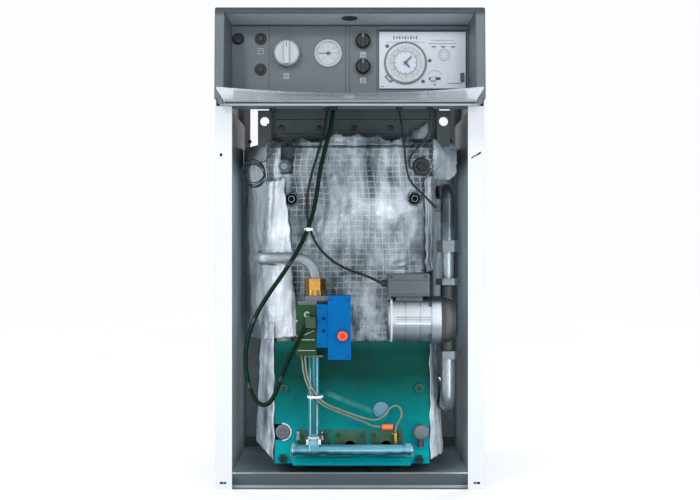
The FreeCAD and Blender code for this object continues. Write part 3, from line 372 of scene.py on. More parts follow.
def strap(name, x, t, z, rx, rt, height, thick, head, body="cabinet"):
    """A cable tie: a flat loop with its locking head and cut tail."""
    bm = bmesh.new()
    seg, g = 48, []
    for i in range(seg):
        a = 2 * math.pi * i / seg
        c, s = math.cos(a), math.sin(a)
        g.append([bm.verts.new(P(x + (rx + d) * c, t + (rt + d) * s, z + h)) for d, h in ((0, -height / 2), (thick, -height / 2), (thick, height / 2), (0, height / 2))])
    for i in range(seg):
        A, B = g[i], g[(i + 1) % seg]
        for k in range(4):
            bm.faces.new((A[k], A[(k + 1) % 4], B[(k + 1) % 4], B[k]))
    hx, ht = x + (rx + thick) * math.cos(head), t + (rt + thick) * math.sin(head)
    bar(bm, hx, z, 6.0, height + 1.6, ht - 2.6, ht + 1.4, 0, 0, 0.6)
    bar(bm, hx + 5.5, z + 0.4, 7.0, height * 0.55, ht - 1.4, ht - 0.5, 0.12, 0, 0.2)
    return closed(name, bm, M["dial"], body)


# ------------------------------------------------------------------ cords
def cable(name, pts, diameter, material, replaces, length=None, body="cabinet"):
    cu = bpy.data.curves.new(name, "CURVE")
    cu.dimensions = "3D"
    cu.bevel_depth = diameter / 2
    cu.bevel_resolution = 5
    cu.use_fill_caps = True
    sp = cu.splines.new("NURBS")
    sp.points.add(len(pts) - 1)
    for p, c in zip(sp.points, pts):
        p.co = (c[0], c[1], c[2], 1)
    sp.order_u = 3
    sp.use_endpoint_u = True
    sp.resolution_u = 10
    o = bpy.data.objects.new(name, cu)
    scene.collection.objects.link(o)
    cu.materials.append(material)
    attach(o, body)
    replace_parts(o, *replaces)
    return o


G = 718.0
ex_h, ex_p = P(spot(333, 110, 120).x / MM, 120, G), P(spot(327, 110, 137).x / MM, 137, G)
ex_l, ex_s, ex_f = P(-151, 146, G), P(spot(399, 110, 130).x / MM, 130, G), P(spot(430, 110, 130).x / MM, 130, G)
H_PTS = [ex_h] + [spot(*p) for p in (
    (331.5, 127, 120), (326, 145, 121), (321, 165, 122), (318, 185, 121), (315, 206, 117), (308, 230, 103), (296, 254, 82),
    (283, 274, 74), (270, 292, 72), (258, 311, 72), (250, 330, 73), (245.5, 350, 74), (245.5, 366, 76), (247.5, 380, 77),
    (250.5, 391, 78), (255, 400, 79), (261.5, 405.5, 79), (269, 404, 78), (274, 396.5, 77), (278, 386.5, 75), (283.6, 371, 71),
    (291, 354, 62), (298, 341, 54))] + [P(-82.0, 52, 303.0)]
M["dial"] = surface("dial_white", lin(222, 226, 232), 0.45, var=0.03, var_scale=40, grain=900, edge=0.0003)
for i in (7, 10, 14, 20):
    a, b = Vector(H_PTS[i]), Vector(H_PTS[i + 1])
    run = (b - a).normalized()
    turned("harness_wrap_%d" % i, (a + b) / 2 - run * 0.0055, run,
                        [(0, 0.0042), (0.0004, 0.0047), (0.0022, 0.0049), (0.0040, 0.0047), (0.0062, 0.0050), (0.0088, 0.0047), (0.0106, 0.0046), (0.011, 0.0042)],
                        M["wrap"], seg=28)
tie = strap("harness_tie", -80.7, 115.0, 485.0, 6.6, 18.6, 5.0, 1.2, math.radians(-90))
cable("harness", H_PTS, 0.0086, M["green_cable"], ["wiring_harness"], length=0.807)
PUMP_PTS = [ex_p] + [spot(*p) for p in (
    (325.5, 126, 137), (319, 150, 138), (312, 172, 139), (307.5, 192, 138), (306.5, 211, 134), (309, 227, 127), (314.5, 241, 121),
    (323, 253, 117), (334, 262, 114), (346.5, 269, 112), (361, 274, 110.5), (373, 278.5, 110))] + [P(60.9, 110, 381.0)]
cable("pump_lead", PUMP_PTS, 0.005, M["dark_cable"], ["pump_cable"], length=0.4213)
IGN_PTS = [P(-93.0, 80, 243.9)] + [spot(*p) for p in (
    (302.2, 361, 79), (303.5, 373, 78), (308, 387, 77), (315, 398, 78), (324, 406, 83), (335.5, 411, 93), (349, 416, 106),
    (363, 421.5, 119), (373, 426.5, 129))] + [P(61.9, 134, 99.0)]
cable("spark_lead", IGN_PTS, 0.0036, M["cream_cable"], ["ignition_lead"], length=0.2432)
FLM_PTS = [P(-86.0, 74, 243.9)] + [spot(*p) for p in (
    (305.4, 361.5, 74), (306.4, 373, 74), (310.4, 385.8, 74), (316.9, 396.2, 75), (325.2, 403.7, 80), (336.5, 408.6, 90),
    (350, 413.4, 103), (363, 418, 114.5), (374, 420.5, 123), (382, 418, 129.5), (387, 411.5, 131.5), (391.8, 406.2, 132),
    (397.2, 405.2, 132.5), (401.3, 409.3, 133), (402.0, 416, 133.7), (397.6, 423, 134))] + [P(88.8, 134, 96.5), P(88.5, 134, 88.1)]
cable("flame_lead", FLM_PTS, 0.0036, M["cream_cable"], ["flame_sensor_lead"], length=0.3311)
SEN_PTS = [ex_s] + [spot(*p) for p in (
    (401.5, 124, 131), (403.5, 139, 133), (405, 155, 136), (406.5, 170, 138), (410.5, 182, 136), (418, 190, 130), (426, 197, 121))] + [P(165.9, 111, 527.0)]
cable("sensor_lead", SEN_PTS, 0.004, M["dark_cable"], ["pipe_sensor_cable"], length=0.2162)
PHI_PTS = [ex_f] + [spot(*p) for p in (
    (430.6, 122, 131), (429, 134, 136), (422.5, 144, 143), (414, 151.5, 150), (409, 158.5, 156), (409, 165.5, 161), (413, 170, 165))] + [P(136.0, 167, 608.0)]
cable("stat_capillary", PHI_PTS, 0.0036, M["capillary"], ["thermostat_capillary"], length=0.1471)

# the left capillary: its spare length wound in loose turns, ending in its bulb
coil = [ex_l, P(-151.5, 147, 700), P(-153, 149, 676), P(-152.5, 150, 652), P(-155, 150.5, 634)]
cx, cz = -189.0, 594.0
turns, per = 5.3, 14
RAD = (27.0, 21.0, 25.0, 16.5, 23.5, 19.0, 24.0)
OFF = ((0, 0), (2.5, -3.0), (-2.5, 3.5), (4.0, 4.5), (-3.5, -4.5), (2.0, 5.0), (0, 0))
for i in range(int(turns * per) + 1):
    a = math.radians(52) + 2 * math.pi * i / per
    k = i / per
    n0, f = int(k), k - int(k)
    f = f * f * (3 - 2 * f)
    r = RAD[n0] * (1 - f) + RAD[n0 + 1] * f
    ox, oz = (OFF[n0][c] * (1 - f) + OFF[n0 + 1][c] * f for c in (0, 1))
    coil.append(P(cx + ox + r * math.cos(a), 146.2 + 1.65 * k + 0.5 * math.sin(a * 2), cz + oz + 1.06 * r * math.sin(a)))
coil.insert(5, P(-163.0, 148.5, 622.5))
end_d = (coil[-1] - coil[-2]).normalized()
bulb = turned("coil_bulb", coil[-1] - end_d * 0.001, end_d, [(0, 0.0011), (0.0012, 0.0026), (0.011, 0.0027), (0.0125, 0.0018), (0.013, 0.0)], M["capillary"], seg=20)
COIL_PTS = coil


def curve_length(pts):
    cu = bpy.data.curves.new("measure", "CURVE")
    cu.dimensions = "3D"
    sp = cu.splines.new("NURBS")
    sp.points.add(len(pts) - 1)
    for p, c in zip(sp.points, pts):
        p.co = (c[0], c[1], c[2], 1)
    sp.order_u = 3
    sp.use_endpoint_u = True
    sp.resolution_u = 10
    o = bpy.data.objects.new("measure", cu)
    me = bpy.data.meshes.new_from_object(o)
    v = [x.co.copy() for x in me.vertices]
    bpy.data.objects.remove(o)
    bpy.data.curves.remove(cu)
    bpy.data.meshes.remove(me)
    return v, sum((b - a).length for a, b in zip(v, v[1:]))


cable("capillary", COIL_PTS, 0.002, M["capillary"], ["capillary_tail", "capillary_coil"],
      length=round(curve_length(COIL_PTS)[1], 3))


# ------------------------------------------------------------------ finishes of the CAD pieces
def finish(material, *names):
    for k in names:
        me = N[k].data
        if len(me.materials) == 0:
            me.materials.append(material)
        for i in range(len(me.materials)):
            me.materials[i] = material


finish(M["white"], "top_cover")
# side panels: enamel outside, grey primer on the inner faces
t = Tree("side_enamel")
sz = t.add("ShaderNodeSeparateXYZ")
t.link(t.xyz, sz.inputs[0])
inner = t.math("MULTIPLY", t.math("LESS_THAN", t.math("ABSOLUTE", sz.outputs["X"]), 0.2491), t.math("GREATER_THAN", sz.outputs["Y"], -0.2792))
inner = t.math("MULTIPLY", inner, t.math("LESS_THAN", sz.outputs["Y"], 0.2765))
skin = t.ramp(t.noise(9.0, 4.0, 0.6), [(0.3, lin(206, 210, 216)), (0.7, lin(210, 214, 220))])
primer = t.ramp(t.noise(14.0, 5.0, 0.65), [(0.3, lin(74, 85, 92)), (0.7, lin(92, 103, 110))])
nrm, mask = t.edges(0.0012)
t.link(t.mix(inner, skin, primer), t.b.inputs["Base Color"])
t.link(t.math("ADD", t.math("MULTIPLY", t.noise(45.0, 4.0, 0.6), 0.16), 0.30, True), t.b.inputs["Roughness"])
t.b.inputs["Coat Weight"].default_value = 0.15
t.b.inputs["Coat Roughness"].default_value = 0.06
t.link(t.bump(t.noise(260.0, 2.0, 0.6), 0.5, 0.00002, nrm), t.b.inputs["Normal"])
finish(t.m, "side_panel_left", "side_panel_right")
# back panel: bare zinc outside, dark primer towards the block
t = Tree("back_sheet")
sz = t.add("ShaderNodeSeparateXYZ")
t.link(t.xyz, sz.inputs[0])
spangle = t.noise(26.0, 4.0, 0.6)
outside = t.math("GREATER_THAN", sz.outputs["Y"], 0.2776)
nrm, mask = t.edges(0.001)
t.link(t.mix(outside, t.ramp(spangle, [(0.3, lin(102, 114, 121)), (0.7, lin(120, 131, 138))]), t.ramp(spangle, [(0.3, lin(154, 160, 165)), (0.7, lin(182, 188, 192))])), t.b.inputs["Base Color"])
t.link(t.math("MULTIPLY", outside, 0.75), t.b.inputs["Metallic"])
t.link(t.math("ADD", t.math("MULTIPLY", t.noise(130.0, 4.0, 0.6), 0.16), 0.34, True), t.b.inputs["Roughness"])
t.link(t.bump(t.noise(180.0, 2.0, 0.6), 0.5, 0.00003, nrm), t.b.inputs["Normal"])
finish(t.m, "back_panel")
# liners: grey paint, with painted shade darkening them towards the top beside the collector
t = Tree("liner_paint")
sz = t.add("ShaderNodeSeparateXYZ")
t.link(t.xyz, sz.inputs[0])
col = t.ramp(t.noise(5.0, 4.0, 0.6), [(0.3, lin(143, 160, 170)), (0.7, lin(156, 175, 185))])
col = t.mix(t.math("MULTIPLY", t.ramp(t.noise(14.0, 6.0, 0.7), [(0.45, 0.0), (0.75, 1.0)]), 0.18), col, lin(108, 120, 127))
# painted shade: darker towards the top and away from the front
top_painted_shade = t.math("MULTIPLY", t.ramp(t.math("ADD", sz.outputs["Z"], t.math("MULTIPLY", t.noise(11.0, 4.0, 0.6), 0.02)), [(0.60, 0.0), (0.642, 1.0)]), t.ramp(t.math("ADD", sz.outputs["Y"], 0.3), [(0.12, 0.0), (0.24, 1.0)]))
nrm, mask = t.edges(0.001)
t.link(t.mix(top_painted_shade, col, lin(58, 72, 81)), t.b.inputs["Base Color"])
t.link(t.math("ADD", t.math("MULTIPLY", t.noise(25.0, 4.0, 0.6), 0.16), 0.38, True), t.b.inputs["Roughness"])
t.link(t.bump(t.noise(420.0, 2.0, 0.6), 0.5, 0.00003, nrm), t.b.inputs["Normal"])
M["liner"] = t.m
finish(M["liner"], "side_liners")
# base pan: painted light making its upward faces paler, darker upstands
t = Tree("pan_paint")
sn = t.add("ShaderNodeSeparateXYZ")
t.link(t.add("ShaderNodeTexCoord").outputs["Normal"], sn.inputs[0])
# painted light: faces that look up are painted paler than the upstands
floor = t.ramp(sn.outputs["Z"], [(0.6, 0.0), (0.9, 1.0)])
drift = t.noise(6.0, 5.0, 0.65)
col = t.mix(floor, t.ramp(drift, [(0.3, lin(52, 62, 67)), (0.7, lin(62, 72, 78))]), t.ramp(drift, [(0.3, lin(134, 154, 160)), (0.7, lin(150, 168, 174))]))
nrm, mask = t.edges(0.001)
worn = t.math("MULTIPLY", t.math("MULTIPLY", mask, 6.0, True), t.math("MULTIPLY", t.noise(60.0, 4.0, 0.7), 0.4), True)
t.link(t.mix(worn, col, lin(140, 150, 156)), t.b.inputs["Base Color"])
t.link(t.math("ADD", t.math("MULTIPLY", t.noise(30.0, 4.0, 0.6), 0.16), 0.38, True), t.b.inputs["Roughness"])
t.link(t.bump(t.noise(420.0, 2.0, 0.6), 0.5, 0.00003, nrm), t.b.inputs["Normal"])
M["pan"] = t.m
finish(M["pan"], "base_pan")
finish(M["rail"], "front_rail")
# hood shell, with the roof of its recess painted lighter as light from below and the front of its top lip painted dark
# as shade
t = Tree("hood_plastic")
sz = t.add("ShaderNodeSeparateXYZ")
t.link(t.xyz, sz.inputs[0])
sn = t.add("ShaderNodeSeparateXYZ")
t.link(t.add("ShaderNodeTexCoord").outputs["Normal"], sn.inputs[0])
under = t.math("MULTIPLY", t.ramp(t.math("MULTIPLY", sn.outputs["Z"], -1.0), [(0.86, 0.0), (0.97, 1.0)]), t.ramp(sz.outputs["Z"], [(0.85, 0.0), (0.86, 1.0)]))
base = t.ramp(t.noise(4.0, 3.0), [(0.3, lin(86, 96, 103)), (0.7, lin(92, 102, 109))])
# painted shade: the front face of the top lip is painted dark
lip = t.math("MULTIPLY", t.ramp(t.math("MULTIPLY", sn.outputs["Y"], -1.0), [(0.6, 0.0), (0.9, 1.0)]), t.ramp(sz.outputs["Z"], [(0.878, 0.0), (0.884, 1.0)]))
t.link(t.mix(lip, t.mix(under, base, lin(152, 163, 171)), lin(38, 47, 52)), t.b.inputs["Base Color"])
nrm, mask = t.edges(0.0022)
t.link(t.ramp(t.noise(30.0, 4.0), [(0.3, 0.46), (0.7, 0.56)]), t.b.inputs["Roughness"])
t.link(t.bump(t.noise(1400.0, 2.0), 0.3, 0.00006, nrm), t.b.inputs["Normal"])
M["hood"] = t.m
finish(M["hood"], "hood_housing")
finish(M["panel"], "control_panel")
finish(M["black"], "control_switches", "selector_knob_upper", "selector_knob_lower", "reset_button", "test_button", "fuse_cap", "thermometer_needle",
       "hour_hand", "minute_hand")
# glands and clips: black, the plug on the valve in the valve's own green
t = Tree("gland_plastic")
sx = t.add("ShaderNodeSeparateXYZ")
t.link(t.xyz, sx.inputs[0])
there = t.math("MULTIPLY", t.ramp(t.math("MULTIPLY", sx.outputs["X"], -1.0), [(0.055, 0.0), (0.06, 1.0)]), t.ramp(sx.outputs["Z"], [(0.36, 1.0), (0.38, 0.0)]))
dark = t.ramp(t.noise(30.0, 4.0), [(0.3, lin(22, 24, 26)), (0.7, lin(30, 33, 35))])
t.link(t.mix(there, dark, lin(10, 46, 24)), t.b.inputs["Base Color"])
nrm, mask = t.edges(0.0008)
t.link(t.ramp(t.noise(50.0, 4.0), [(0.3, 0.36), (0.7, 0.5)]), t.b.inputs["Roughness"])
t.link(t.bump(t.noise(900.0, 2.0), 0.3, 0.00008, nrm), t.b.inputs["Normal"])
M["gland"] = t.m
finish(M["gland"], "cable_glands")
finish(M["pale"], "thermostat_knob", "thermometer_case", "timer_ring", "timer_slider")
finish(M["timer"], "programmer_housing")
finish(M["iron"], "cast_sections", "lifting_lugs", "drain_cock")
# water pipes: painted shade darkening them above the pump, a brighter tube below it
t = Tree("water_tube")
sz = t.add("ShaderNodeSeparateXYZ")
t.link(t.xyz, sz.inputs[0])
hz = t.math("ADD", sz.outputs["Z"], t.math("MULTIPLY", t.math("SUBTRACT", t.noise(40.0, 4.0), 0.5), 0.06))
# painted shade: the tube's colour darkens above the pump
col = t.ramp(hz, [(0.26, lin(122, 131, 138)), (0.36, lin(124, 133, 139)), (0.44, lin(128, 136, 142)), (0.475, lin(74, 82, 88)), (0.50, lin(46, 54, 58))])
col = t.mix(t.math("MULTIPLY", t.ramp(t.noise(24.0, 6.0, 0.7), [(0.5, 0.0), (0.75, 1.0)]), 0.35), col, lin(46, 50, 52))
t.link(col, t.b.inputs["Base Color"])
t.b.inputs["Metallic"].default_value = 0.7
t.link(t.ramp(t.noise(60.0, 4.0), [(0.3, 0.24), (0.7, 0.42)]), t.b.inputs["Roughness"])
nrm, mask = t.edges(0.0006)
t.link(t.bump(t.noise(220.0, 3.0), 0.25, 0.0001, nrm), t.b.inputs["Normal"])
M["tube"] = t.m
finish(M["tube"], "water_pipes")
finish(M["sheet"], "flue_hood", "combustion_chamber")
finish(M["steel"], "drain_spindle", "pump_rotor")
M["nut"] = surface("dull_plate", lin(88, 95, 100), 0.42, metal=0.6, var=0.12, var_scale=40, grain=240, edge=0.001, wear=0.4, dirt=0.2)
finish(M["nut"], "pipe_fittings")
# fasteners: enamelled over on the burner door, dull in the rod wells, plated above
t = Tree("fastener_finish")
sz = t.add("ShaderNodeSeparateXYZ")
t.link(t.xyz, sz.inputs[0])
hz = t.math("ADD", sz.outputs["Z"], t.math("MULTIPLY", t.math("SUBTRACT", t.noise(90.0, 3.0), 0.5), 0.01))
plated = t.mix(t.ramp(sz.outputs["X"], [(0.05, 0.0), (0.10, 1.0)]), lin(104, 112, 118), lin(28, 35, 37))
low = t.ramp(hz, [(0.12, lin(4, 66, 62)), (0.16, lin(4, 76, 72)), (0.20, lin(4, 76, 72)), (0.24, lin(30, 36, 36)), (0.34, lin(30, 36, 36)), (0.52, lin(34, 40, 44)), (0.57, lin(40, 47, 51))])
t.link(t.mix(t.ramp(hz, [(0.575, 0.0), (0.59, 1.0)]), low, plated), t.b.inputs["Base Color"])
nrm, mask = t.edges(0.0009)
t.b.inputs["Metallic"].default_value = 0.55
t.link(t.ramp(t.noise(60.0, 4.0), [(0.3, 0.28), (0.7, 0.46)]), t.b.inputs["Roughness"])
t.link(t.bump(t.noise(300.0, 2.0), 0.3, 0.0001, nrm), t.b.inputs["Normal"])
M["fastener"] = t.m
finish(M["fastener"], "fasteners")
finish(M["pipe"], "gas_inlet_pipe")
finish(M["brass"], "pilot_burner", "union_nut")
finish(M["orange"], "ignition_electrode", "gas_button")
finish(M["green"], "gas_valve_body")
finish(M["blue"], "gas_valve_cover")
# motor barrel: brushed, with a painted highlight across its upper side, painted shade below and a painted shadow under
# the terminal box
t = Tree("barrel_aluminium")
sz = t.add("ShaderNodeSeparateXYZ")
t.link(t.xyz, sz.inputs[0])
hz = t.math("ADD", sz.outputs["Z"], t.math("MULTIPLY", t.math("SUBTRACT", t.noise(24.0, 3.0), 0.5), 0.006))
# painted light and shade by height: dim below, a bright band above, dark where the terminal box shades it
col = t.ramp(hz, [(0.270, lin(106, 114, 121)), (0.298, lin(128, 137, 144)), (0.306, lin(168, 174, 180)), (0.332, lin(184, 189, 195)), (0.344, lin(150, 156, 162)), (0.348, lin(62, 71, 77))])
t.link(t.mix(t.math("MULTIPLY", t.noise(1.0, 4.0, 0.6, vec=t.scaled(40, 260, 260)), 0.16), col, lin(90, 98, 104)), t.b.inputs["Base Color"])
t.b.inputs["Metallic"].default_value = 0.7
t.link(t.ramp(t.noise(50.0, 4.0), [(0.3, 0.32), (0.7, 0.44)]), t.b.inputs["Roughness"])
nrm, mask = t.edges(0.0012)
t.link(t.bump(t.noise(260.0, 2.0), 0.3, 0.0001, nrm), t.b.inputs["Normal"])
M["alu"] = t.m
finish(M["alu"], "pump_motor")
finish(M["volute"], "pump_volute")
finish(M["box"], "pump_terminal_box")


def clear(name, tint, rough, alpha):
    t = Tree(name)
    t.link(t.ramp(t.noise(18.0, 4.0, 0.6), [(0.3, tuple(c * 0.94 for c in tint)), (0.7, tint)]), t.b.inputs["Base Color"])
    t.link(t.ramp(t.noise(35.0, 5.0, 0.7), [(0.35, rough), (0.75, rough + 0.06)]), t.b.inputs["Roughness"])
    t.link(t.bump(t.noise(30.0, 3.0), 0.1, 0.0002), t.b.inputs["Normal"])
    t.b.inputs["Alpha"].default_value = alpha
    return t


M["glass"] = clear("clear_glass", (0.95, 0.98, 1.0), 0.01, 0.10).m
# acrylic: clear in the middle, a painted reflection whitening it towards its two ends, and more opaque along its face
# than through it
t = clear("clear_acrylic", lin(226, 232, 240), 0.03, 0.4)
sx = t.add("ShaderNodeSeparateXYZ")
t.link(t.xyz, sx.inputs[0])
far = t.math("ABSOLUTE", sx.outputs["X"])
# painted reflection: opacity rising towards the two ends stands in for glare on the flap's corners
painted_end_glare = t.math("ADD", far, t.math("MULTIPLY", t.math("SUBTRACT", t.noise(6.0, 2.0), 0.5), 0.03))
lw = t.add("ShaderNodeLayerWeight")
lw.inputs["Blend"].default_value = 0.5
haze = t.ramp(lw.outputs["Facing"], [(0.3, 0.28), (0.78, 1.0)])
t.link(t.math("MULTIPLY", t.ramp(painted_end_glare, [(0.03, 0.22), (0.11, 0.30), (0.155, 0.60), (0.19, 0.80)]), haze), t.b.inputs["Alpha"])
M["acrylic"] = t.m
finish(M["acrylic"], "clear_flap")
finish(M["glass"], "thermometer_lens")
M["sight"] = surface("sight_window", lin(60, 114, 136), 0.18, var=0.08, var_scale=60, grain=300, edge=0.001, wear=0.3, coat=0.4)
finish(M["sight"], "sight_glass")

# teal enamel: blue-green below, painted shade darkening it to deep green at the top, a painted highlight along its top
# fold, glossy and a little uneven
t = Tree("teal_enamel")
sep = t.add("ShaderNodeSeparateXYZ")
t.link(t.xyz, sep.inputs[0])
h = t.math("ADD", t.math("MULTIPLY", sep.outputs["Z"], 4.0), t.math("MULTIPLY", t.noise(7.0, 4.0, 0.6), 0.16))
# painted shade: the plate darkens upwards, with a painted highlight at its top fold
col = t.ramp(t.math("MULTIPLY", h, 0.8), [(0.21, lin(6, 152, 160)), (0.48, lin(2, 104, 104)), (0.69, lin(0, 58, 50)), (0.84, lin(0, 60, 56)), (0.92, lin(6, 88, 84))])
col = t.mix(t.math("MULTIPLY", t.ramp(t.noise(90.0, 5.0, 0.7), [(0.58, 0.0), (0.72, 1.0)]), 0.35), col, lin(10, 52, 50))
# a painted reflection of the leads: a pale streak beside them
rx, rz = t.math("ADD", sep.outputs["X"], 0.051), t.math("SUBTRACT", sep.outputs["Z"], 0.166)
along = t.math("SUBTRACT", t.math("MULTIPLY", rx, 0.928), t.math("MULTIPLY", rz, 0.373))
across = t.math("ABSOLUTE", t.math("ADD", t.math("MULTIPLY", rx, 0.373), t.math("MULTIPLY", rz, 0.928)))
lead_reflection = t.math("MULTIPLY", t.ramp(t.math("MULTIPLY", across, 100.0), [(0.25, 1.0), (0.68, 0.0)]), t.ramp(t.math("MULTIPLY", along, 5.0), [(0.0, 0.0), (0.06, 1.0), (0.5, 0.8), (0.54, 0.0)]))
lead_reflection = t.math("MULTIPLY", lead_reflection, t.ramp(t.noise(30.0, 4.0, 0.6), [(0.3, 0.12), (0.7, 0.46)]))
col = t.mix(lead_reflection, col, lin(96, 156, 146))
t.link(col, t.b.inputs["Base Color"])
nrm, mask = t.edges(0.0014)
t.link(t.ramp(t.noise(40.0, 4.0), [(0.3, 0.14), (0.75, 0.26)]), t.b.inputs["Roughness"])
t.b.inputs["Specular IOR Level"].default_value = 0.03
t.link(t.bump(t.noise(120.0, 3.0), 0.25, 0.0004, nrm), t.b.inputs["Normal"])
M["teal"] = t.m
finish(M["teal"], "burner_plate")
M["olive"] = surface("olive_plate", lin(34, 84, 60), 0.4, metal=0.3, var=0.2, var_scale=40, grain=300, edge=0.001, wear=0.4, dirt=0.35)
# painted shade: a near-black finish for the discs standing for the shade in the rod bores
M["hole"] = surface("bore_shade", lin(10, 13, 15), 0.85, var=0.3, var_scale=90, grain=300, edge=0.0003, spec=0.05)
M["olive_dark"] = surface("stained_bolt", lin(26, 36, 18), 0.45, metal=0.3, var=0.3, var_scale=70, grain=300, edge=0.0006, wear=0.4)
finish(M["olive"], "burner_tubes")
# manifold tubing: painted highlight and dark bands along the header, painted reflections on the riser bright at its
# edges and dark in its middle, darker towards the left end
t = Tree("manifold_tube")
sz = t.add("ShaderNodeSeparateXYZ")
t.link(t.xyz, sz.inputs[0])
hz = t.math("ADD", sz.outputs["Z"], t.math("MULTIPLY", t.math("SUBTRACT", t.noise(30.0, 3.0), 0.5), 0.02))
# painted highlights: bright and dark bands across the header by height
col = t.ramp(hz, [(0.0455, lin(150, 186, 180)), (0.0482, lin(140, 180, 176)), (0.0502, lin(12, 80, 94)), (0.054, lin(20, 100, 110)), (0.061, lin(124, 184, 206)), (0.066, lin(84, 150, 176)), (0.074, lin(140, 200, 216)), (0.092, lin(40, 112, 124)), (0.24, lin(36, 104, 112))])
across = t.math("ABSOLUTE", t.math("ADD", sz.outputs["X"], 0.070))
# painted reflection: the riser bright at its edges, dark in its middle
riser_painted_reflection = t.ramp(t.math("MULTIPLY", across, 50.0), [(0.10, lin(8, 84, 86)), (0.24, lin(14, 94, 96)), (0.33, lin(116, 190, 200)), (0.46, lin(92, 168, 178)), (0.56, lin(40, 116, 122))])
col = t.mix(t.ramp(hz, [(0.086, 0.0), (0.092, 1.0)]), col, riser_painted_reflection)
col = t.mix(t.ramp(t.math("MULTIPLY", t.math("ADD", sz.outputs["X"], 0.125), 4.0), [(0.0, 0.32), (0.74, 0.0)]), col, lin(10, 74, 98))
t.link(t.mix(t.math("MULTIPLY", t.noise(24.0, 5.0, 0.7), 0.2), col, lin(20, 70, 78)), t.b.inputs["Base Color"])
t.b.inputs["Metallic"].default_value = 0.45
t.link(t.ramp(t.noise(60.0, 4.0), [(0.3, 0.12), (0.75, 0.2)]), t.b.inputs["Roughness"])
nrm, mask = t.edges(0.0005)
t.link(nrm, t.b.inputs["Normal"])
M["teal_pipe"] = t.m
finish(M["teal_pipe"], "gas_manifold_set")

# ------------------------------------------------------------------ foil blanket
# foil over wool: creased mirror film with the scrim threads showing as a pale grid; streaks, patches and facets in its
# tone are painted reflections of the creases, and a falloff paints shade towards its sides
def foil_finish(name, tones, metal, rough, scrim_amount, crease_depth, falloff=0.0):
    t = Tree(name)
    uv = t.add("ShaderNodeUVMap", uv_map="wrap").outputs["UV"]
    nz = t.add("ShaderNodeTexNoise")
    t.link(t.xyz, nz.inputs["Vector"])
    nz.inputs["Scale"].default_value = 18
    sc = t.add("ShaderNodeVectorMath", operation="SCALE")
    t.link(nz.outputs["Color"], sc.inputs[0])
    sc.inputs["Scale"].default_value = 0.007
    warp = t.add("ShaderNodeVectorMath", operation="ADD")
    t.link(uv, warp.inputs[0])
    t.link(sc.outputs[0], warp.inputs[1])
    s = t.add("ShaderNodeSeparateXYZ")
    t.link(warp.outputs[0], s.inputs[0])
    thread = None
    for ax, cell in (("X", 0.013), ("Y", 0.011)):
        f = t.math("FRACT", t.math("DIVIDE", s.outputs[ax], cell))
        d = t.math("ABSOLUTE", t.math("SUBTRACT", f, 0.5))
        e = t.ramp(d, [(0.5 - 0.0016 / cell, 0.0), (0.5 - 0.0004 / cell, 1.0)])
        thread = e if thread is None else t.math("MAXIMUM", thread, e)
    thread = t.math("MULTIPLY", thread, t.ramp(t.noise(9.0, 4.0, 0.6, distort=0.5), [(0.42, 0.05), (0.60, 1.0)]))
    streak = t.noise(1.0, 4.0, 0.6, vec=t.scaled(34, 34, 6), distort=0.6)
    patch = t.noise(6.5, 5.0, 0.62, distort=0.7)
    bent = t.add("ShaderNodeVectorMath", operation="ADD")
    t.link(t.scaled(30, 30, 15), bent.inputs[0])
    t.link(nz.outputs["Color"], bent.inputs[1])
    facet = t.add("ShaderNodeTexVoronoi", feature="SMOOTH_F1")
    facet.inputs["Smoothness"].default_value = 0.55
    facet.inputs["Scale"].default_value = 1.0
    t.link(bent.outputs[0], facet.inputs["Vector"])
    face = t.add("ShaderNodeSeparateXYZ")
    t.link(facet.outputs["Color"], face.inputs[0])
    # painted reflections: streak, patch and facet noise vary the tone like creases catching light
    shade = t.math("ADD", t.math("MULTIPLY", streak, 0.40), t.math("MULTIPLY", patch, 0.48))
    shade = t.math("ADD", shade, t.math("MULTIPLY", face.outputs["X"], 0.12))
    side = t.add("ShaderNodeSeparateXYZ")
    t.link(t.xyz, side.inputs[0])
    # painted shade: where falloff is given, the tone darkens towards both sides, fading out at the far left
    off = t.math("SUBTRACT", side.outputs["X"], 0.02)
    off = t.math("MAXIMUM", t.math("MULTIPLY", off, -1.0), t.math("MULTIPLY", off, 0.72))
    out = t.math("MAXIMUM", t.math("SUBTRACT", off, 0.075), 0.0)
    out = t.math("MULTIPLY", t.math("MINIMUM", out, 0.05), t.ramp(t.math("MULTIPLY", side.outputs["X"], -5.0), [(0.58, 1.0), (0.68, 0.1)]))
    shade = t.math("SUBTRACT", shade, t.math("MULTIPLY", out, falloff))
    col = t.ramp(shade, [(p, lin(*c)) for p, c in tones])
    col = t.mix(t.math("MULTIPLY", thread, scrim_amount), col, lin(226, 231, 237))
    t.link(col, t.b.inputs["Base Color"])
    t.b.inputs["Metallic"].default_value = metal
    t.link(t.math("ADD", t.math("MULTIPLY", thread, 0.2), t.ramp(t.noise(26.0, 4.0), [(0.3, rough), (0.8, rough + 0.18)]), True), t.b.inputs["Roughness"])
    crease = t.add("ShaderNodeTexVoronoi", feature="DISTANCE_TO_EDGE")
    t.link(t.xyz, crease.inputs["Vector"])
    crease.inputs["Scale"].default_value = 30
    crumple = t.math("ADD", t.math("MULTIPLY", crease.outputs["Distance"], 1.1), t.math("MULTIPLY", t.noise(60.0, 5.0, 0.6, distort=0.8), 0.9))
    t.link(t.bump(thread, 0.5, 0.0007, t.bump(crumple, 0.4, crease_depth)), t.b.inputs["Normal"])
    return t.m


M["foil"] = foil_finish("foil", [(0.36, (34, 43, 49)), (0.44, (78, 89, 96)), (0.52, (122, 132, 139)), (0.60, (156, 164, 172)), (0.71, (190, 196, 204))], 0.68, 0.29, 0.28, 0.005, 1.8)
M["foil_white"] = foil_finish("foil_white", [(0.36, (88, 96, 105)), (0.44, (130, 138, 147)), (0.51, (166, 173, 182)), (0.59, (188, 194, 202)), (0.68, (212, 217, 223))], 0.3, 0.3, 0.06, 0.005)
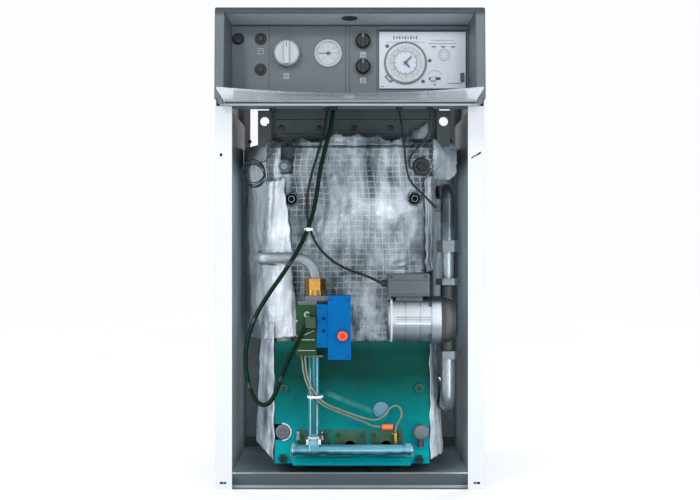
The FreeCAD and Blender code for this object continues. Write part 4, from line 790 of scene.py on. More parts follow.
# pale foil strips beside the burner, their tones partly raised as painted light where the lamps reach them poorly
M["foil_strip"] = foil_finish("foil_strip", [(0.34, (86, 95, 103)), (0.42, (164, 172, 180)), (0.49, (212, 218, 224)), (0.57, (234, 238, 242)), (0.68, (246, 249, 251))], 0.3, 0.28, 0.05, 0.009)
M["foil_dark"] = foil_finish("foil_dark", [(0.34, (126, 137, 144)), (0.44, (160, 170, 177)), (0.54, (190, 199, 205)), (0.66, (228, 234, 238))], 0.08, 0.4, 0.10, 0.003)


def ridge(p):
    return 1.0 - 2.0 * abs(noise.noise(p))


def crumpled(p, seed, fine=1.0):
    """Foil displacement in millimetres at a point given in millimetres."""
    q = Vector(p) * 0.001 + Vector((seed, seed * 0.7, -seed))
    a = noise.noise(q * 6.0) * 5.0
    w = Vector((noise.noise(q * 9.0), noise.noise(q * 9.0 + Vector((5, 1, 2))), noise.noise(q * 9.0 + Vector((1, 7, 3))))) * 0.05
    b = ridge((q + w) * 14.0) * 2.6
    c = ridge((q + w) * 33.0) * 1.1 * fine
    return a + b + c


def sheet_of(name, grid, uvs, material, drop=None, thick=2.0, slots=None):
    """A sheet from rows of points in millimetres; drop tells which cells are torn out, slots which finish a cell has."""
    bm = bmesh.new()
    uvl = bm.loops.layers.uv.new("wrap")
    vs = [[bm.verts.new(P(*c)) for c in row] for row in grid]
    for r in range(len(grid) - 1):
        for i in range(len(grid[0]) - 1):
            ids = ((r, i), (r, i + 1), (r + 1, i + 1), (r + 1, i))
            mid = [sum(grid[a][b][k] for a, b in ids) / 4.0 for k in range(3)]
            if drop and drop(*mid):
                continue
            f = bm.faces.new([vs[a][b] for a, b in ids])
            if slots:
                f.material_index = slots(*mid)
            for lp, (a, b) in zip(f.loops, ids):
                lp[uvl].uv = uvs[a][b]
    bmesh.ops.delete(bm, geom=[v for v in bm.verts if not v.link_faces], context="VERTS")
    o = put(name, bm, material, "cabinet", angle=75)
    so = o.modifiers.new("wool", "SOLIDIFY")
    so.thickness = thick * MM
    so.offset = -1
    return o


def resample(pts, step):
    """Even points along a plan polyline whose corners are rounded by subdivision."""
    for _ in range(3):
        out = [pts[0]]
        for a, b in zip(pts, pts[1:]):
            out += [(a[0] * 0.75 + b[0] * 0.25, a[1] * 0.75 + b[1] * 0.25), (a[0] * 0.25 + b[0] * 0.75, a[1] * 0.25 + b[1] * 0.75)]
        out.append(pts[-1])
        pts = out
    run = [0.0]
    for a, b in zip(pts, pts[1:]):
        run.append(run[-1] + math.hypot(b[0] - a[0], b[1] - a[1]))
    res, k = [], 0
    for i in range(step):
        s = run[-1] * i / (step - 1.0)
        while k < len(run) - 2 and run[k + 1] < s:
            k += 1
        f = (s - run[k]) / max(1e-9, run[k + 1] - run[k])
        res.append((pts[k][0] + (pts[k + 1][0] - pts[k][0]) * f, pts[k][1] + (pts[k + 1][1] - pts[k][1]) * f))
    return res


def bell(z, c, w):
    return math.exp(-((z - c) / w) ** 2)


def block_path(z):
    lb = (30 * bell(z, 606, 46) + 14 * bell(z, 500, 60) + 16 * bell(z, 345, 60)) * (1 - bell(z, 430, 26))
    rb = (42 * bell(z, 632, 30) + 14 * bell(z, 480, 50) + 6 * bell(z, 380, 60)) * (1 - 0.8 * bell(z, 562, 26))
    front = 170.0 - 2.0 * math.sin(z * 0.031) if z < 648 else 170.0 + (z - 648) ** 2 * 0.07
    return [(-230, 486), (-208 - lb * 0.2, 400), (-174 - lb, 305), (-172 - lb * 0.95, 235), (-165 - lb * 0.45, 190), (-150, front + 1), (-120, front),
            (-40, front - 2), (40, front - 2), (120, front), (154, front + 1), (166 + rb * 0.35, 186), (172 + rb * 0.9, 232), (174 + rb, 300),
            (198 + rb * 0.2, 400), (229, 486)]


def near_line(x, t, z, a, b, r):
    a, b, p = Vector(a), Vector(b), Vector((x, t, z))
    d = b - a
    k = max(0.0, min(1.0, (p - a).dot(d) / d.length_squared))
    return (p - (a + d * k)).length < r


def torn(x, t, z):
    j = 2.2 * noise.noise(Vector((x, t, z)) * 0.11)
    if t < 205:
        for hx, hz, r in ((-116, 546, 14.0), (128, 547, 14.0), (142, 611, 19.0)):
            if math.hypot(x - hx, z - hz) < r + j:
                return True
        if -136.5 < x < -113 + 2 * j and z > 596 + 2 * j + 0.12 * (x + 130):
            return True
    return (near_line(x, t, z, (-186.5, 120, 430), (-186.5, 562, 430), 13.5) or near_line(x, t, z, (189.5, 110, 562), (189.5, 240, 562), 17.0)
            or near_line(x, t, z, (189.5, 240, 562), (150, 240, 562), 17.0) or near_line(x, t, z, (189.5, 110, 464), (189.5, 110, 562), 16.0))


NP = 300
rows = [259 + i * 2.7 for i in range(int((668 - 259) / 2.7) + 1)]
grid, uvs = [], []
for z in rows:
    pts = resample(block_path(z), NP)
    row, ur, s = [], [], 0.0
    for i, (x, tt) in enumerate(pts):
        a, b = pts[max(i - 1, 0)], pts[min(i + 1, NP - 1)]
        d = Vector((b[0] - a[0], b[1] - a[1]))
        nr = Vector((d.y, -d.x)).normalized()
        if i:
            s += math.hypot(x - pts[i - 1][0], tt - pts[i - 1][1])
        off = crumpled((x, tt, z), 3.1) * (1.15 if abs(x) < 150 else 1.0)
        px, pt = x + nr.x * off, tt + nr.y * off
        if -150 < px < 156:
            pt = max(pt, 163.5)
        px = max(-234.0, min(234.0, px))
        row.append((px, pt, z + 0.6 * noise.noise(Vector((x, tt, z)) * 0.02)))
        ur.append((s * MM, z * MM))
    grid.append(row)
    uvs.append(ur)
blanket = sheet_of("foil_blanket", grid, uvs, [M["foil"], M["foil_dark"]], torn, 2.5, lambda x, t, z: 1 if abs(x) > 166 or t > 215 else 0)
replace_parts(blanket, "insulation_blanket")


def patch(name, quad, nu, nv, seed, material, amp=1.0, bulge=0.0, drop=None, jag=0.0, folds=0.0):
    """A loose piece of foil over four corners (upper left, upper right, lower right, lower left) in millimetres."""
    A, B, C, D = (Vector(c) for c in quad)
    grid, uvs = [], []
    for r in range(nv + 1):
        v = r / nv
        row, ur = [], []
        for i in range(nu + 1):
            u = i / nu
            p = A * (1 - u) * (1 - v) + B * u * (1 - v) + C * u * v + D * (1 - u) * v
            e = min(1.0, 6 * u * (1 - u) + 0.25)
            p = p + Vector((0, -1, 0)) * (crumpled(p, seed) * amp * e + bulge * math.sin(math.pi * u) * math.sin(math.pi * min(1, v + 0.1))
                                          + folds * ridge(Vector((u * 2.6 + 0.5 * v, v * 0.9, seed))))
            if jag:
                p.x += jag * noise.noise(Vector((seed, v * 9, 0))) * (1 - u) + jag * noise.noise(Vector((seed + 4, v * 9, 0))) * u
                p.z += jag * noise.noise(Vector((u * 7, seed, 2))) * (1 - v) + jag * noise.noise(Vector((u * 7, seed, 9))) * v
            row.append(tuple(p))
            ur.append((p.x * MM, p.z * MM))
        grid.append(row)
        uvs.append(ur)
    o = sheet_of(name, grid, uvs, material, drop, 1.2)
    return o


# loose white flaps on the left, round the gas tube and down beside the burner door
patch("flap_upper_left", ((-161, 167, 580), (-131, 158, 586), (-114, 156, 441), (-176, 168, 441)), 34, 60, 1.3, M["foil_white"], 0.3, 6, None, 3, 3.0)
patch("flap_middle_left", ((-173, 169, 416), (-116, 158, 416), (-100, 156, 276), (-170, 168, 268)), 36, 52, 4.7, M["foil_white"], 0.3, 5, None, 3, 3.0)
patch("strip_lower_left", ((-176, 196, 300), (-149.5, 149, 300), (-149.5, 149, 33), (-186, 186, 66)), 26, 110, 7.9, M["foil_strip"], 0.6, 3, None, 3, 3.0)
patch("strip_lower_right", ((172, 190, 270), (158.5, 149, 262), (158.5, 149, 34), (186, 184, 44)), 26, 104, 9.2, M["foil_strip"], 0.7, 3,
      lambda x, t, z: near_line(x, t, z, (189.5, 110, 143), (189.5, 562, 143), 18.0) or near_line(x, t, z, (189.5, 110, 143), (189.5, 110, 235), 17.0), 3, 2.0)
# the blanket's right edge, creased over beside the rising pipe
patch("edge_right", ((147, 163, 588), (163, 170, 590), (166, 170, 404), (151, 163, 402)), 18, 76, 3.6, M["foil_white"], 0.5, 2, None, 5, 4.0)
# torn upper edge
patch("foil_crown", ((-112, 176, 690), (124, 176, 690), (126, 168, 652), (-114, 168, 652)), 90, 14, 5.5, M["foil"], 0.7, 3,
      lambda x, t, z: z > 660 + 17 * max(0.0, ridge(Vector((x * 0.021, 3.3, 0)))) * (1.0 if -45 < x < 80 else 0.55), 3)
patch("shoulder_right", ((150, 184, 668), (216, 236, 660), (214, 236, 586), (160, 178, 584)), 30, 34, 2.2, M["foil_dark"], 0.6, 14,
      lambda x, t, z: math.hypot(x - 142, z - 611) < 21 or near_line(x, t, z, (189.5, 110, 562), (189.5, 240, 562), 18.0)
      or abs((x - 181) / 36.0) ** 3 + abs((z - 628) / 42.0) ** 3 > 1.0, 4)


def torn_rim(name, x, z, r, t0, seed):
    """A crumpled foil lip round an opening."""
    bm = bmesh.new()
    uvl = bm.loops.layers.uv.new("wrap")
    seg, ring = 40, 8
    g = []
    for i in range(seg):
        a = 2 * math.pi * i / seg
        jr = 1.5 * noise.noise(Vector((math.cos(a) * 2 + seed, math.sin(a) * 2, seed)))
        row = []
        for k in range(ring):
            b = 2 * math.pi * k / ring
            h = 1.5 + 1.0 * noise.noise(Vector((a * 3, b, seed)))
            rr = r + jr + h * math.cos(b)
            row.append(bm.verts.new(P(x + rr * math.cos(a), t0 + h * 0.9 * math.sin(b), z + rr * math.sin(a))))
        g.append(row)
    for i in range(seg):
        for k in range(ring):
            f = bm.faces.new((g[i][k], g[(i + 1) % seg][k], g[(i + 1) % seg][(k + 1) % ring], g[i][(k + 1) % ring]))
            for lp in f.loops:
                lp[uvl].uv = (lp.vert.co.x, lp.vert.co.z)
    bmesh.ops.recalc_face_normals(bm, faces=bm.faces)
    o = put(name, bm, M["foil"], "cabinet", angle=80)
    return o


torn_rim("rim_rod_left", -116, 546, 15.0, 167.5, 1.1)
torn_rim("rim_rod_right", 128, 547, 15.0, 167.5, 2.6)
torn_rim("rim_sensor", 142, 611, 20.0, 168.0, 4.2)


# ------------------------------------------------------------------ control fascia details
M["seam"] = surface("seam_shadow", lin(52, 59, 64), 0.6, var=0.1, grain=500, edge=0.0002)
M["print"] = surface("pale_print", lin(164, 173, 180), 0.5, var=0.08, var_scale=60, grain=900, edge=0.0001)
M["print_white"] = surface("bright_trim", lin(228, 233, 238), 0.35, var=0.05, var_scale=40, grain=700, edge=0.0003)
M["ink"] = surface("dark_print", lin(84, 91, 98), 0.5, var=0.12, var_scale=60, grain=900, edge=0.0001)
M["grey"] = surface("grey_plastic", lin(112, 120, 127), 0.45, var=0.06, var_scale=40, grain=900, edge=0.0006)


def numeral(bm, text, x, t, z, size, angle=0.0, mi=0):
    """A printed number lying on a face seen from the front."""
    cu = bpy.data.curves.new("num", "FONT")
    cu.body = text
    cu.size = size
    cu.align_x = "CENTER"
    cu.align_y = "CENTER"
    cu.resolution_u = 3
    o = bpy.data.objects.new("num", cu)
    scene.collection.objects.link(o)
    bpy.context.view_layer.update()
    me = bpy.data.meshes.new_from_object(o)
    ca, sa = math.cos(angle), math.sin(angle)
    n0 = len(bm.verts)
    vs = [bm.verts.new(P(x + v.co.x * ca - v.co.y * sa, t, z + v.co.x * sa + v.co.y * ca)) for v in me.vertices]
    for p in me.polygons:
        try:
            bm.faces.new([vs[i] for i in p.vertices]).material_index = mi
        except ValueError:
            pass
    bpy.data.objects.remove(o)
    bpy.data.meshes.remove(me)
    bpy.data.curves.remove(cu)


# dark strips standing for shadow along the front edge of the recess roof, along the fascia's top and under the flap's
# hinge
bm = bmesh.new()
add_box(bm, P(-230.5, -15.5, 882.6), P(230.5, -12.5, 886.0))
add_box(bm, P(-224.5, 76.2, 873.6), P(224.5, 77.8, 875.9))
bevelled(closed("recess_shadow_strips", bm, M["seam"]), 0.0004, 1)
bm = bmesh.new()
bar(bm, 0, 715.6, 460, 3.0, -36.0, -32.6, 0, 0, 1.0)
closed("hinge_shadow_strip", bm, M["seam"], "flap")

# joints between the fascia's modules and a painted shadow line above the programmer, pale symbol tiles under the
# controls, scale round the thermostat
bm = bmesh.new()
for x in (-155.0, -8.2, -0.6, 51.5):
    bar(bm, x, 811, 0.9, 128, 77.55, 78.2, 0, 0, 0.1)
# painted shadow: a dark line above the recessed programmer
bar(bm, 138.5, 866.2, 172, 2.2, 76.9, 78.2, 0, 0, 0.3)
closed("fascia_joints_and_shadow_line", bm, M["seam"])
bm = bmesh.new()
for x, z, kind in ((-171.0, 826.0, 0), (-122.3, 778.6, 1), (24.8, 819.6, 2), (24.8, 769.6, 3)):
    if kind == 0:
        for dx, dz, w, h in ((0, 5, 11, 1.3), (0, -5, 11, 1.3), (-5, 0, 1.3, 11), (5, 0, 1.3, 11), (0, 1, 5, 1.2)):
            bar(bm, x + dx, z + dz, w, h, 77.6, 78.2, 0, 0, 0.1)
    else:
        bar(bm, x, z, 11, 11, 77.6, 78.2, 0, 0, 0.2)
        if kind == 1:
            for k in (-3, 0, 3):
                bar(bm, x + k, z, 1.2, 6.5, 77.3, 77.7, 0, 1, 0.1)
        elif kind == 2:
            bar(bm, x - 1.5, z, 1.3, 7, 77.3, 77.7, 0.5, 1, 0.1)
            bar(bm, x + 2.4, z - 1.2, 1.3, 5, 77.3, 77.7, -0.7, 1, 0.1)
        else:
            annulus(bm, x, z + 1.2, 1.3, 2.6, 77.3, 77.7, 24, 1)
            bar(bm, x, z - 3.4, 7.0, 1.3, 77.3, 77.7, 0, 1, 0.1)
closed("fascia_symbols", bm, [M["print"], M["ink"]])
bm = bmesh.new()
for i in range(11):
    a = math.radians(225 - 27 * i)
    bar(bm, -120.6 + 28.0 * math.cos(a), 820.8 + 28.0 * math.sin(a), 3.4, 0.9, 77.7, 78.2, a, 0, 0.1)
for i in range(3):
    for zc in (844.6, 796.1):
        a = math.radians(140 - 50 * i)
        bar(bm, 24.8 + 17.2 * math.cos(a), zc + 17.2 * math.sin(a), 2.6, 0.9, 77.7, 78.2, a, 0, 0.1)
closed("fascia_scales", bm, M["print"])
for i, (x, z) in enumerate(((-214, 849.3), (-170.9, 849.3), (-171.1, 790.8))):
    bm = bmesh.new()
    annulus(bm, x, z, 9.05, 11.6, 76.4, 78.0, 48)
    o = closed("button_collar_%d" % i, bm, M["black"])
    bevelled(o, 0.0005, 2)
# dark socket of the flap's catch in the roof of the recess
bm = bmesh.new()
prev = None
for k, (f, dz) in enumerate(((1.0, 0.0), (0.86, -0.6), (0.74, 0.2), (0.5, 0.9), (0.0, 1.0))):
    ring = []
    for i in range(40):
        a = 2 * math.pi * i / 40
        x, tt = -0.5 + 15.5 * f * math.cos(a), 32 + 16 * f * math.sin(a)
        ring.append(bm.verts.new(P(x, tt, 881.2 - (tt - 32) * 0.1076 + dz - 0.25)))
    if prev:
        for i in range(40):
            bm.faces.new((prev[i], prev[(i + 1) % 40], ring[(i + 1) % 40], ring[i]))
    prev = ring
bmesh.ops.remove_doubles(bm, verts=bm.verts, dist=1e-6)
closed("catch_socket", bm, M["black"])
# thermostat knob: pointer line and knurl
bm = bmesh.new()
bar(bm, -120.6, 836.5, 1.4, 10, 49.75, 50.2, 0, 0, 0.1)
closed("knob_pointer", bm, M["ink"], "thermostat_dial")
bm = bmesh.new()
for i in range(48):
    a = 2 * math.pi * i / 48
    bar(bm, -120.6 + 24.0 * math.cos(a), 820.8 + 24.0 * math.sin(a), 0.9, 1.6, 60.5, 76.5, a, 0, 0.3)
closed("knob_knurl", bm, M["pale"], "thermostat_dial")
for nm, zc, body in (("upper", 844.6, "selector_upper"), ("lower", 796.1, "selector_lower")):
    bm = bmesh.new()
    bar(bm, 24.8, zc + 8.4, 1.3, 7.0, 56.8, 57.2, 0, 1, 0.1)
    for i in range(32):
        a = 2 * math.pi * i / 32
        bar(bm, 24.8 + 14.0 * math.cos(a), zc + 14.0 * math.sin(a), 0.8, 1.4, 64.5, 76.8, a, 0, 0.3)
    closed("selector_marks_" + nm, bm, [M["black"], M["print"]], body)

# thermometer: dial with its scale, hub and tail of the needle
bm = bmesh.new()
annulus(bm, -41.8, 821.9, 0.0, 22.6, 77.0, 77.35, 64)
bmesh.ops.remove_doubles(bm, verts=bm.verts, dist=1e-7)
closed("thermometer_dial", bm, M["pale"])
bm = bmesh.new()
for i in range(25):
    a = math.radians(225 - 270 * i / 24.0)
    L = 3.4 if i % 4 == 0 else 2.0
    bar(bm, -41.8 + (20.4 - L / 2) * math.cos(a), 821.9 + (20.4 - L / 2) * math.sin(a), L, 0.7 if i % 4 == 0 else 0.45, 76.85, 77.05, a, 0, 0.05)
for i in range(7):
    a = math.radians(225 - 270 * i / 6.0)
    numeral(bm, str(20 * i), -41.8 + 13.6 * math.cos(a), 76.9, 821.9 + 13.6 * math.sin(a), 4.2)
annulus(bm, -41.8, 821.9, 20.9, 21.4, 76.85, 77.05, 64)
closed("thermometer_scale", bm, M["ink"])
turned("needle_hub", P(-41.8, 75.3, 821.9), (0, -1, 0), [(0, 0.0034), (0.0005, 0.0036), (0.0008, 0.003), (0.0009, 0.0)], M["black"], "needle", 32)
bm = bmesh.new()
bar(bm, -41.8 - 9.0, 821.9, 13.0, 1.5, 75.15, 75.5, 0, 0, 0.1)
bar(bm, -41.8 + 4.6, 821.9, 5.0, 2.0, 75.15, 75.5, 0, 0, 0.1)
closed("needle_blade", bm, M["black"], "needle")

# programmer: dial numbers, tappets, hands, screws and prints
CX, CZ = 106.0, 802.6
bm = bmesh.new()
for i in range(48):
    a = 2 * math.pi * i / 48
    bar(bm, CX + 34.9 * math.cos(a), CZ + 34.9 * math.sin(a), 4.4, 3.0, 66.7 + (0.5 if i % 7 == 3 else 0), 68.4, a, 0, 0.35)
for i in range(24):
    a = math.radians(90 - 15 * i)
    bar(bm, CX + 31.0 * math.cos(a), CZ + 31.0 * math.sin(a), 2.2, 0.6, 68.0, 68.3, a, 1, 0.05)
    if i % 2 == 0:
        numeral(bm, str(i if i else 24), CX + 26.6 * math.cos(a), 68.12, CZ + 26.6 * math.sin(a), 4.6, 0.0, 1)
closed("day_ring_tappets", bm, [M["dial"], M["ink"]], "day_ring")
bm = bmesh.new()
annulus(bm, CX, CZ, 38.2, 41.0, 69.6, 72.1, 72, 0)
closed("dial_surround", bm, M["grey"])
bm = bmesh.new()
for i in range(12):
    a = math.radians(90 - 30 * i)
    bar(bm, CX + 18.6 * math.cos(a), CZ + 18.6 * math.sin(a), 3.0, 1.0 if i % 3 == 0 else 0.6, 67.7, 68.05, a, 0, 0.05)
annulus(bm, CX, CZ, 20.9, 21.5, 67.75, 68.05, 64)
closed("clock_marks", bm, M["ink"])


def hand(name, body, angle, length, width, tail, t0, t1, hub):
    bm = bmesh.new()
    ca, sa = math.cos(angle), math.sin(angle)
    prof = [(-tail, width * 0.5), (0, width * 0.75), (length * 0.72, width * 0.62), (length, 0.35)]
    rows = [[(d, h) for d, h in prof] + [(d, -h) for d, h in reversed(prof)]]
    lo = [bm.verts.new(P(CX + d * ca - h * sa, t1, CZ + d * sa + h * ca)) for d, h in rows[0]]
    hi = [bm.verts.new(P(CX + d * ca - h * 0.8 * sa, t0, CZ + d * sa + h * 0.8 * ca)) for d, h in rows[0]]
    m = len(lo)
    for i in range(m):
        bm.faces.new((lo[i], lo[(i + 1) % m], hi[(i + 1) % m], hi[i]))
    bm.faces.new(hi)
    bm.faces.new(list(reversed(lo)))
    add_turned(bm, P(CX, t1, CZ), (0, -1, 0), [(0, hub * MM), ((t1 - t0) * MM, hub * MM), ((t1 - t0) * MM + 0.0003, hub * 0.7 * MM), ((t1 - t0) * MM + 0.0003, 0)], 32)
    return closed(name, bm, M["ink"], body)


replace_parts(hand("clock_hour", "hour", math.radians(-50), 12.5, 2.6, 3.5, 66.1, 67.0, 3.4), "hour_hand")
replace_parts(hand("clock_minute", "minute", math.radians(48), 17.5, 2.0, 4.5, 64.3, 65.2, 3.0), "minute_hand")
for i, (x, z) in enumerate(((71, 834.8), (152.3, 807.2), (139.6, 767.5))):
    turned("programmer_screw_%d" % i, P(x, 72.0, z), (0, -1, 0), [(0, 0.0036), (0.0007, 0.0035), (0.0012, 0.0027), (0.0012, 0.0012), (0.0006, 0.0008), (0.0006, 0.0)], M["ink"], seg=28)
bm = bmesh.new()
bar(bm, 74.0, 772.8, 16, 6.5, 69.2, 72.1, math.radians(-45), 0, 0.8)
bar(bm, 74.0, 772.8, 10, 2.2, 68.9, 69.3, math.radians(-45), 1, 0.2)
bar(bm, 214.0, 775.0, 8.0, 17.0, 68.6, 72.1, 0, 2, 0.6)
closed("programmer_tabs", bm, [M["grey"], M["dial"], M["ink"]])
bm = bmesh.new()
for i in range(9):
    bar(bm, 84 + 5.4 * i, 851.0, 3.0, 4.6 if i % 2 else 6.4, 71.8, 72.1, 0, 1, 0.05)
bar(bm, 106, 842.4, 74, 0.7, 71.8, 72.1, 0, 1, 0.05)
for k, w in ((0, 44), (1, 52)):
    bar(bm, 176, 846 - 6 * k, w, 0.9, 71.8, 72.1, 0, 1, 0.05)
for x in (160, 178, 197):
    bar(bm, x, 833.5, 8.0, 2.4, 71.8, 72.1, 0, 0, 0.05)
annulus(bm, 179.8, 817.7, 10.3, 11.3, 71.8, 72.1, 48, 1)
for i in range(8):
    a = 2 * math.pi * i / 8
    bar(bm, 179.8 + 7.0 * math.cos(a), 817.7 + 7.0 * math.sin(a), 2.4, 1.4, 71.8, 72.1, a, 0, 0.05)
annulus(bm, 162, 772.6, 15.0, 15.9, 71.8, 72.1, 40, 1, math.radians(25), math.radians(155))
bar(bm, 162, 761.5, 3.0, 3.0, 71.8, 72.1, 0, 0, 0.05)
bar(bm, 62, 757.5, 5.0, 1.4, 71.8, 72.1, 0, 0, 0.05)
closed("programmer_prints", bm, [M["ink"], M["grey"]])


# ------------------------------------------------------------------ block, valve, burner and pump details
M["bright"] = surface("bright_steel", lin(196, 201, 204), 0.2, metal=0.95, var=0.08, var_scale=40, grain=260, edge=0.0006, wear=0.3)
M["dark_bolt"] = surface("dark_bolt", lin(48, 55, 60), 0.45, metal=0.5, var=0.15, var_scale=50, grain=260, edge=0.0008, wear=0.4, dirt=0.2)

# standing seams down both sides of the flue collector, its lower lip and screws
bm = bmesh.new()
for x0, x1 in ((-163.0, -156.0), (172.0, 179.5)):
    add_box(bm, P(x0, 214.5, 651.5), P(x1, 217.0, 864.0))
add_box(bm, P(-150, 213.2, 672.0), P(166, 216.0, 679.0))
add_box(bm, P(-150, 213.2, 704.0), P(166, 216.0, 708.0))
bevelled(closed("collector_seams", bm, M["sheet"]), 0.0008, 2)
for i, (x, z) in enumerate(((-138, 691), (-62, 691), (8, 691), (82, 691), (154, 691))):
    turned("collector_screw_%d" % i, P(x, 216.0, z), (0, -1, 0), [(0, 0.0062), (0.0009, 0.0062), (0.001, 0.0044), (0.0042, 0.0042), (0.0046, 0.0034), (0.0046, 0.0)], M["dark_bolt"], seg=6 * 4)
patch("foil_tongue", ((112, 212, 672), (156, 211, 701), (160, 200, 668), (112, 200, 652)), 24, 16, 6.6, M["foil_white"], 0.4, 3, None, 4, 2.0)

# plug and sensor pocket: turned shoulders round the hexagons
turned("plug_shoulder", P(-130, 172.2, 611), (0, -1, 0), [(0, 0.0172), (0.0016, 0.0172), (0.0026, 0.0156), (0.0026, 0.0118), (0.0012, 0.0108), (0.0012, 0.0)], M["dark_bolt"], seg=56)
turned("sensor_shoulder", P(142, 170.2, 611), (0, -1, 0), [(0, 0.0178), (0.0018, 0.0178), (0.003, 0.016), (0.003, 0.0125), (0.0012, 0.0112), (0.0012, 0.0084), (0.0, 0.0084)], M["volute"], seg=56)

for i, (x, z) in enumerate(((-116, 546), (128, 547))):
    bm = bmesh.new()
    add_turned(bm, P(x, 173.0, z), (0, -1, 0), [(0, 0.0132), (0.0016, 0.0132), (0.0022, 0.0124), (0.0022, 0.0112), (0.0010, 0.0104), (0.0, 0.0104)], 48)
    closed("rod_washer_%d" % i, bm, M["nut"])
bm = bmesh.new()
annulus(bm, -130, 611, 7.6, 9.6, 162.0, 163.0, 48)
bevelled(closed("plug_ring", bm, M["dark_bolt"]), 0.0003, 2)
turned("plug_face", P(-130, 163.0, 611), (0, -1, 0), [(0, 0.0074), (0.0012, 0.0074), (0.0022, 0.0064), (0.0024, 0.0040), (0.0016, 0.0032), (0.0016, 0.0)], M["grey"], seg=48)
# pale rims and near-black discs painted as shade in the bores at the rod ends
for i, (x, z) in enumerate(((-116, 546), (128, 547))):
    bm = bmesh.new()
    annulus(bm, x, z, 5.3, 6.8, 164.5, 166.0, 40)
    bevelled(closed("rod_rim_%d" % i, bm, M["grey"]), 0.0003, 2)
    turned("rod_bore_shade_%d" % i, P(x, 166.0, z), (0, -1, 0), [(0, 0.0053), (0.0004, 0.0052), (0.0004, 0.0)], M["hole"], seg=40)

# gas valve: port, ribs, cover screws, conduit tip
bm = bmesh.new()
annulus(bm, -81.6, 322.2, 3.2, 6.0, 59.2, 62.0, 40, 0, math.radians(35), math.radians(325))
annulus(bm, -81.6, 322.2, 0.0, 3.0, 61.2, 62.0, 32, 1)
bmesh.ops.remove_doubles(bm, verts=bm.verts, dist=1e-7)
bar(bm, -83, 274.5, 33, 2.4, 59.8, 62.0, 0, 0, 0.6)
bar(bm, -84, 265.0, 30, 7.0, 60.6, 62.0, 0, 2, 0.8)
bar(bm, -83, 254.0, 33, 2.0, 60.2, 62.0, 0, 0, 0.5)
bar(bm, -92, 333.0, 16, 4.0, 60.4, 62.0, 0, 2, 0.8)
bar(bm, -78, 287.5, 22, 1.6, 60.8, 62.0, math.radians(24), 0, 0.4)
M["clip"] = surface("plated_clip", lin(136, 148, 138), 0.35, metal=0.5, var=0.12, var_scale=60, grain=300, edge=0.0004, wear=0.3)
closed("valve_fittings", bm, [M["clip"], M["dark_bolt"], M["green"]])
for i, (x, z, t0) in enumerate(((-36.5, 351.5, 50), (-3.5, 351.5, 50), (-36.5, 243.5, 50), (-3.5, 243.5, 50), (-57.5, 336, 54), (-57.5, 266, 54))):
    turned("cover_screw_%d" % i, P(x, t0, z), (0, -1, 0), [(0, 0.0024), (0.0006, 0.0023), (0.0009, 0.0016), (0.0004, 0.0012), (0.0004, 0.0)], M["blue"], seg=24)
bm = bmesh.new()
annulus(bm, -14.0, 282.6, 9.3, 12.0, 45.2, 46.2, 56)
bevelled(closed("button_collar_gas", bm, M["blue_deep"]), 0.0004, 2)
turned("button_dish", P(-14.0, 41.2, 282.6), (0, -1, 0), [(0, 0.0068), (0.0006, 0.0064), (0.0009, 0.0056), (0.0006, 0.004), (0.0004, 0.0)], M["orange_deep"], "ignition_key", 48)

# burner: sight port plug in the left notch with its pale lip, test nipples, drain knob
turned("side_plug", P(-132.5, 152.8, 87.5), (0, -1, 0), [(0, 0.0150), (0.0036, 0.0150), (0.0048, 0.0134), (0.0050, 0.0065), (0.0036, 0.0055), (0.0036, 0.0)], M["nut"], seg=48)
bm = bmesh.new()
annulus(bm, -132.5, 87.5, 15.4, 17.6, 148.4, 151.0, 40, 0, math.radians(-92), math.radians(92))
closed("side_plug_lip", bm, M["bright"])
for i, (x, z) in enumerate(((-130.0, 173.0), (136.0, 174.0), (-132.0, 36.0), (136.0, 34.0))):
    turned("plate_bolt_cap_%d" % i, P(x, 143.0, z), (0, -1, 0), [(0, 0.0052), (0.0010, 0.0050), (0.0016, 0.0040), (0.0008, 0.0030), (0.0008, 0.0)], M["olive_dark"], seg=32)
# scorched rolled rims of the burner throats
M["scorch"] = surface("scorched_steel", lin(104, 92, 70), 0.38, metal=0.6, var=0.3, var_scale=60, grain=300, edge=0.0006, wear=0.4, dirt=0.3)
for i, x in enumerate((-71.0, 0.0, 71.0)):
    bm = bmesh.new()
    annulus(bm, x, 60.0, 13.6, 15.6, 142.9, 144.0, 56)
    bevelled(closed("throat_rim_%d" % i, bm, M["scorch"]), 0.0004, 2)
turned("test_nipple_a", P(-101.5, 141.5, 73.0), (0, 0, 1), [(0, 0.0046), (0.005, 0.0046), (0.006, 0.003), (0.012, 0.003), (0.0126, 0.0038), (0.0165, 0.0038), (0.0172, 0.0028), (0.0172, 0.0)], M["clip"], seg=28)
turned("test_nipple_b", P(-54.5, 141.5, 73.0), (0, 0, 1), [(0, 0.0044), (0.005, 0.0044), (0.006, 0.0028), (0.0135, 0.0028), (0.0145, 0.0034), (0.0165, 0.0026), (0.0165, 0.0)], M["bright"], seg=28)
bm = bmesh.new()
add_turned(bm, P(138, 118.5, 92), (0, -1, 0), [(0, 0.0115), (0.0016, 0.0148), (0.0095, 0.0150), (0.0120, 0.0132), (0.0131, 0.0085), (0.0134, 0.0)], 56)
for i in range(14):
    a = 2 * math.pi * i / 14
    bar(bm, 138 + 15.0 * math.cos(a), 92 + 15.0 * math.sin(a), 1.5, 2.6, 108.5, 116.5, a, 0, 0.5)
closed("drain_knob", bm, M["nut"], "spindle")
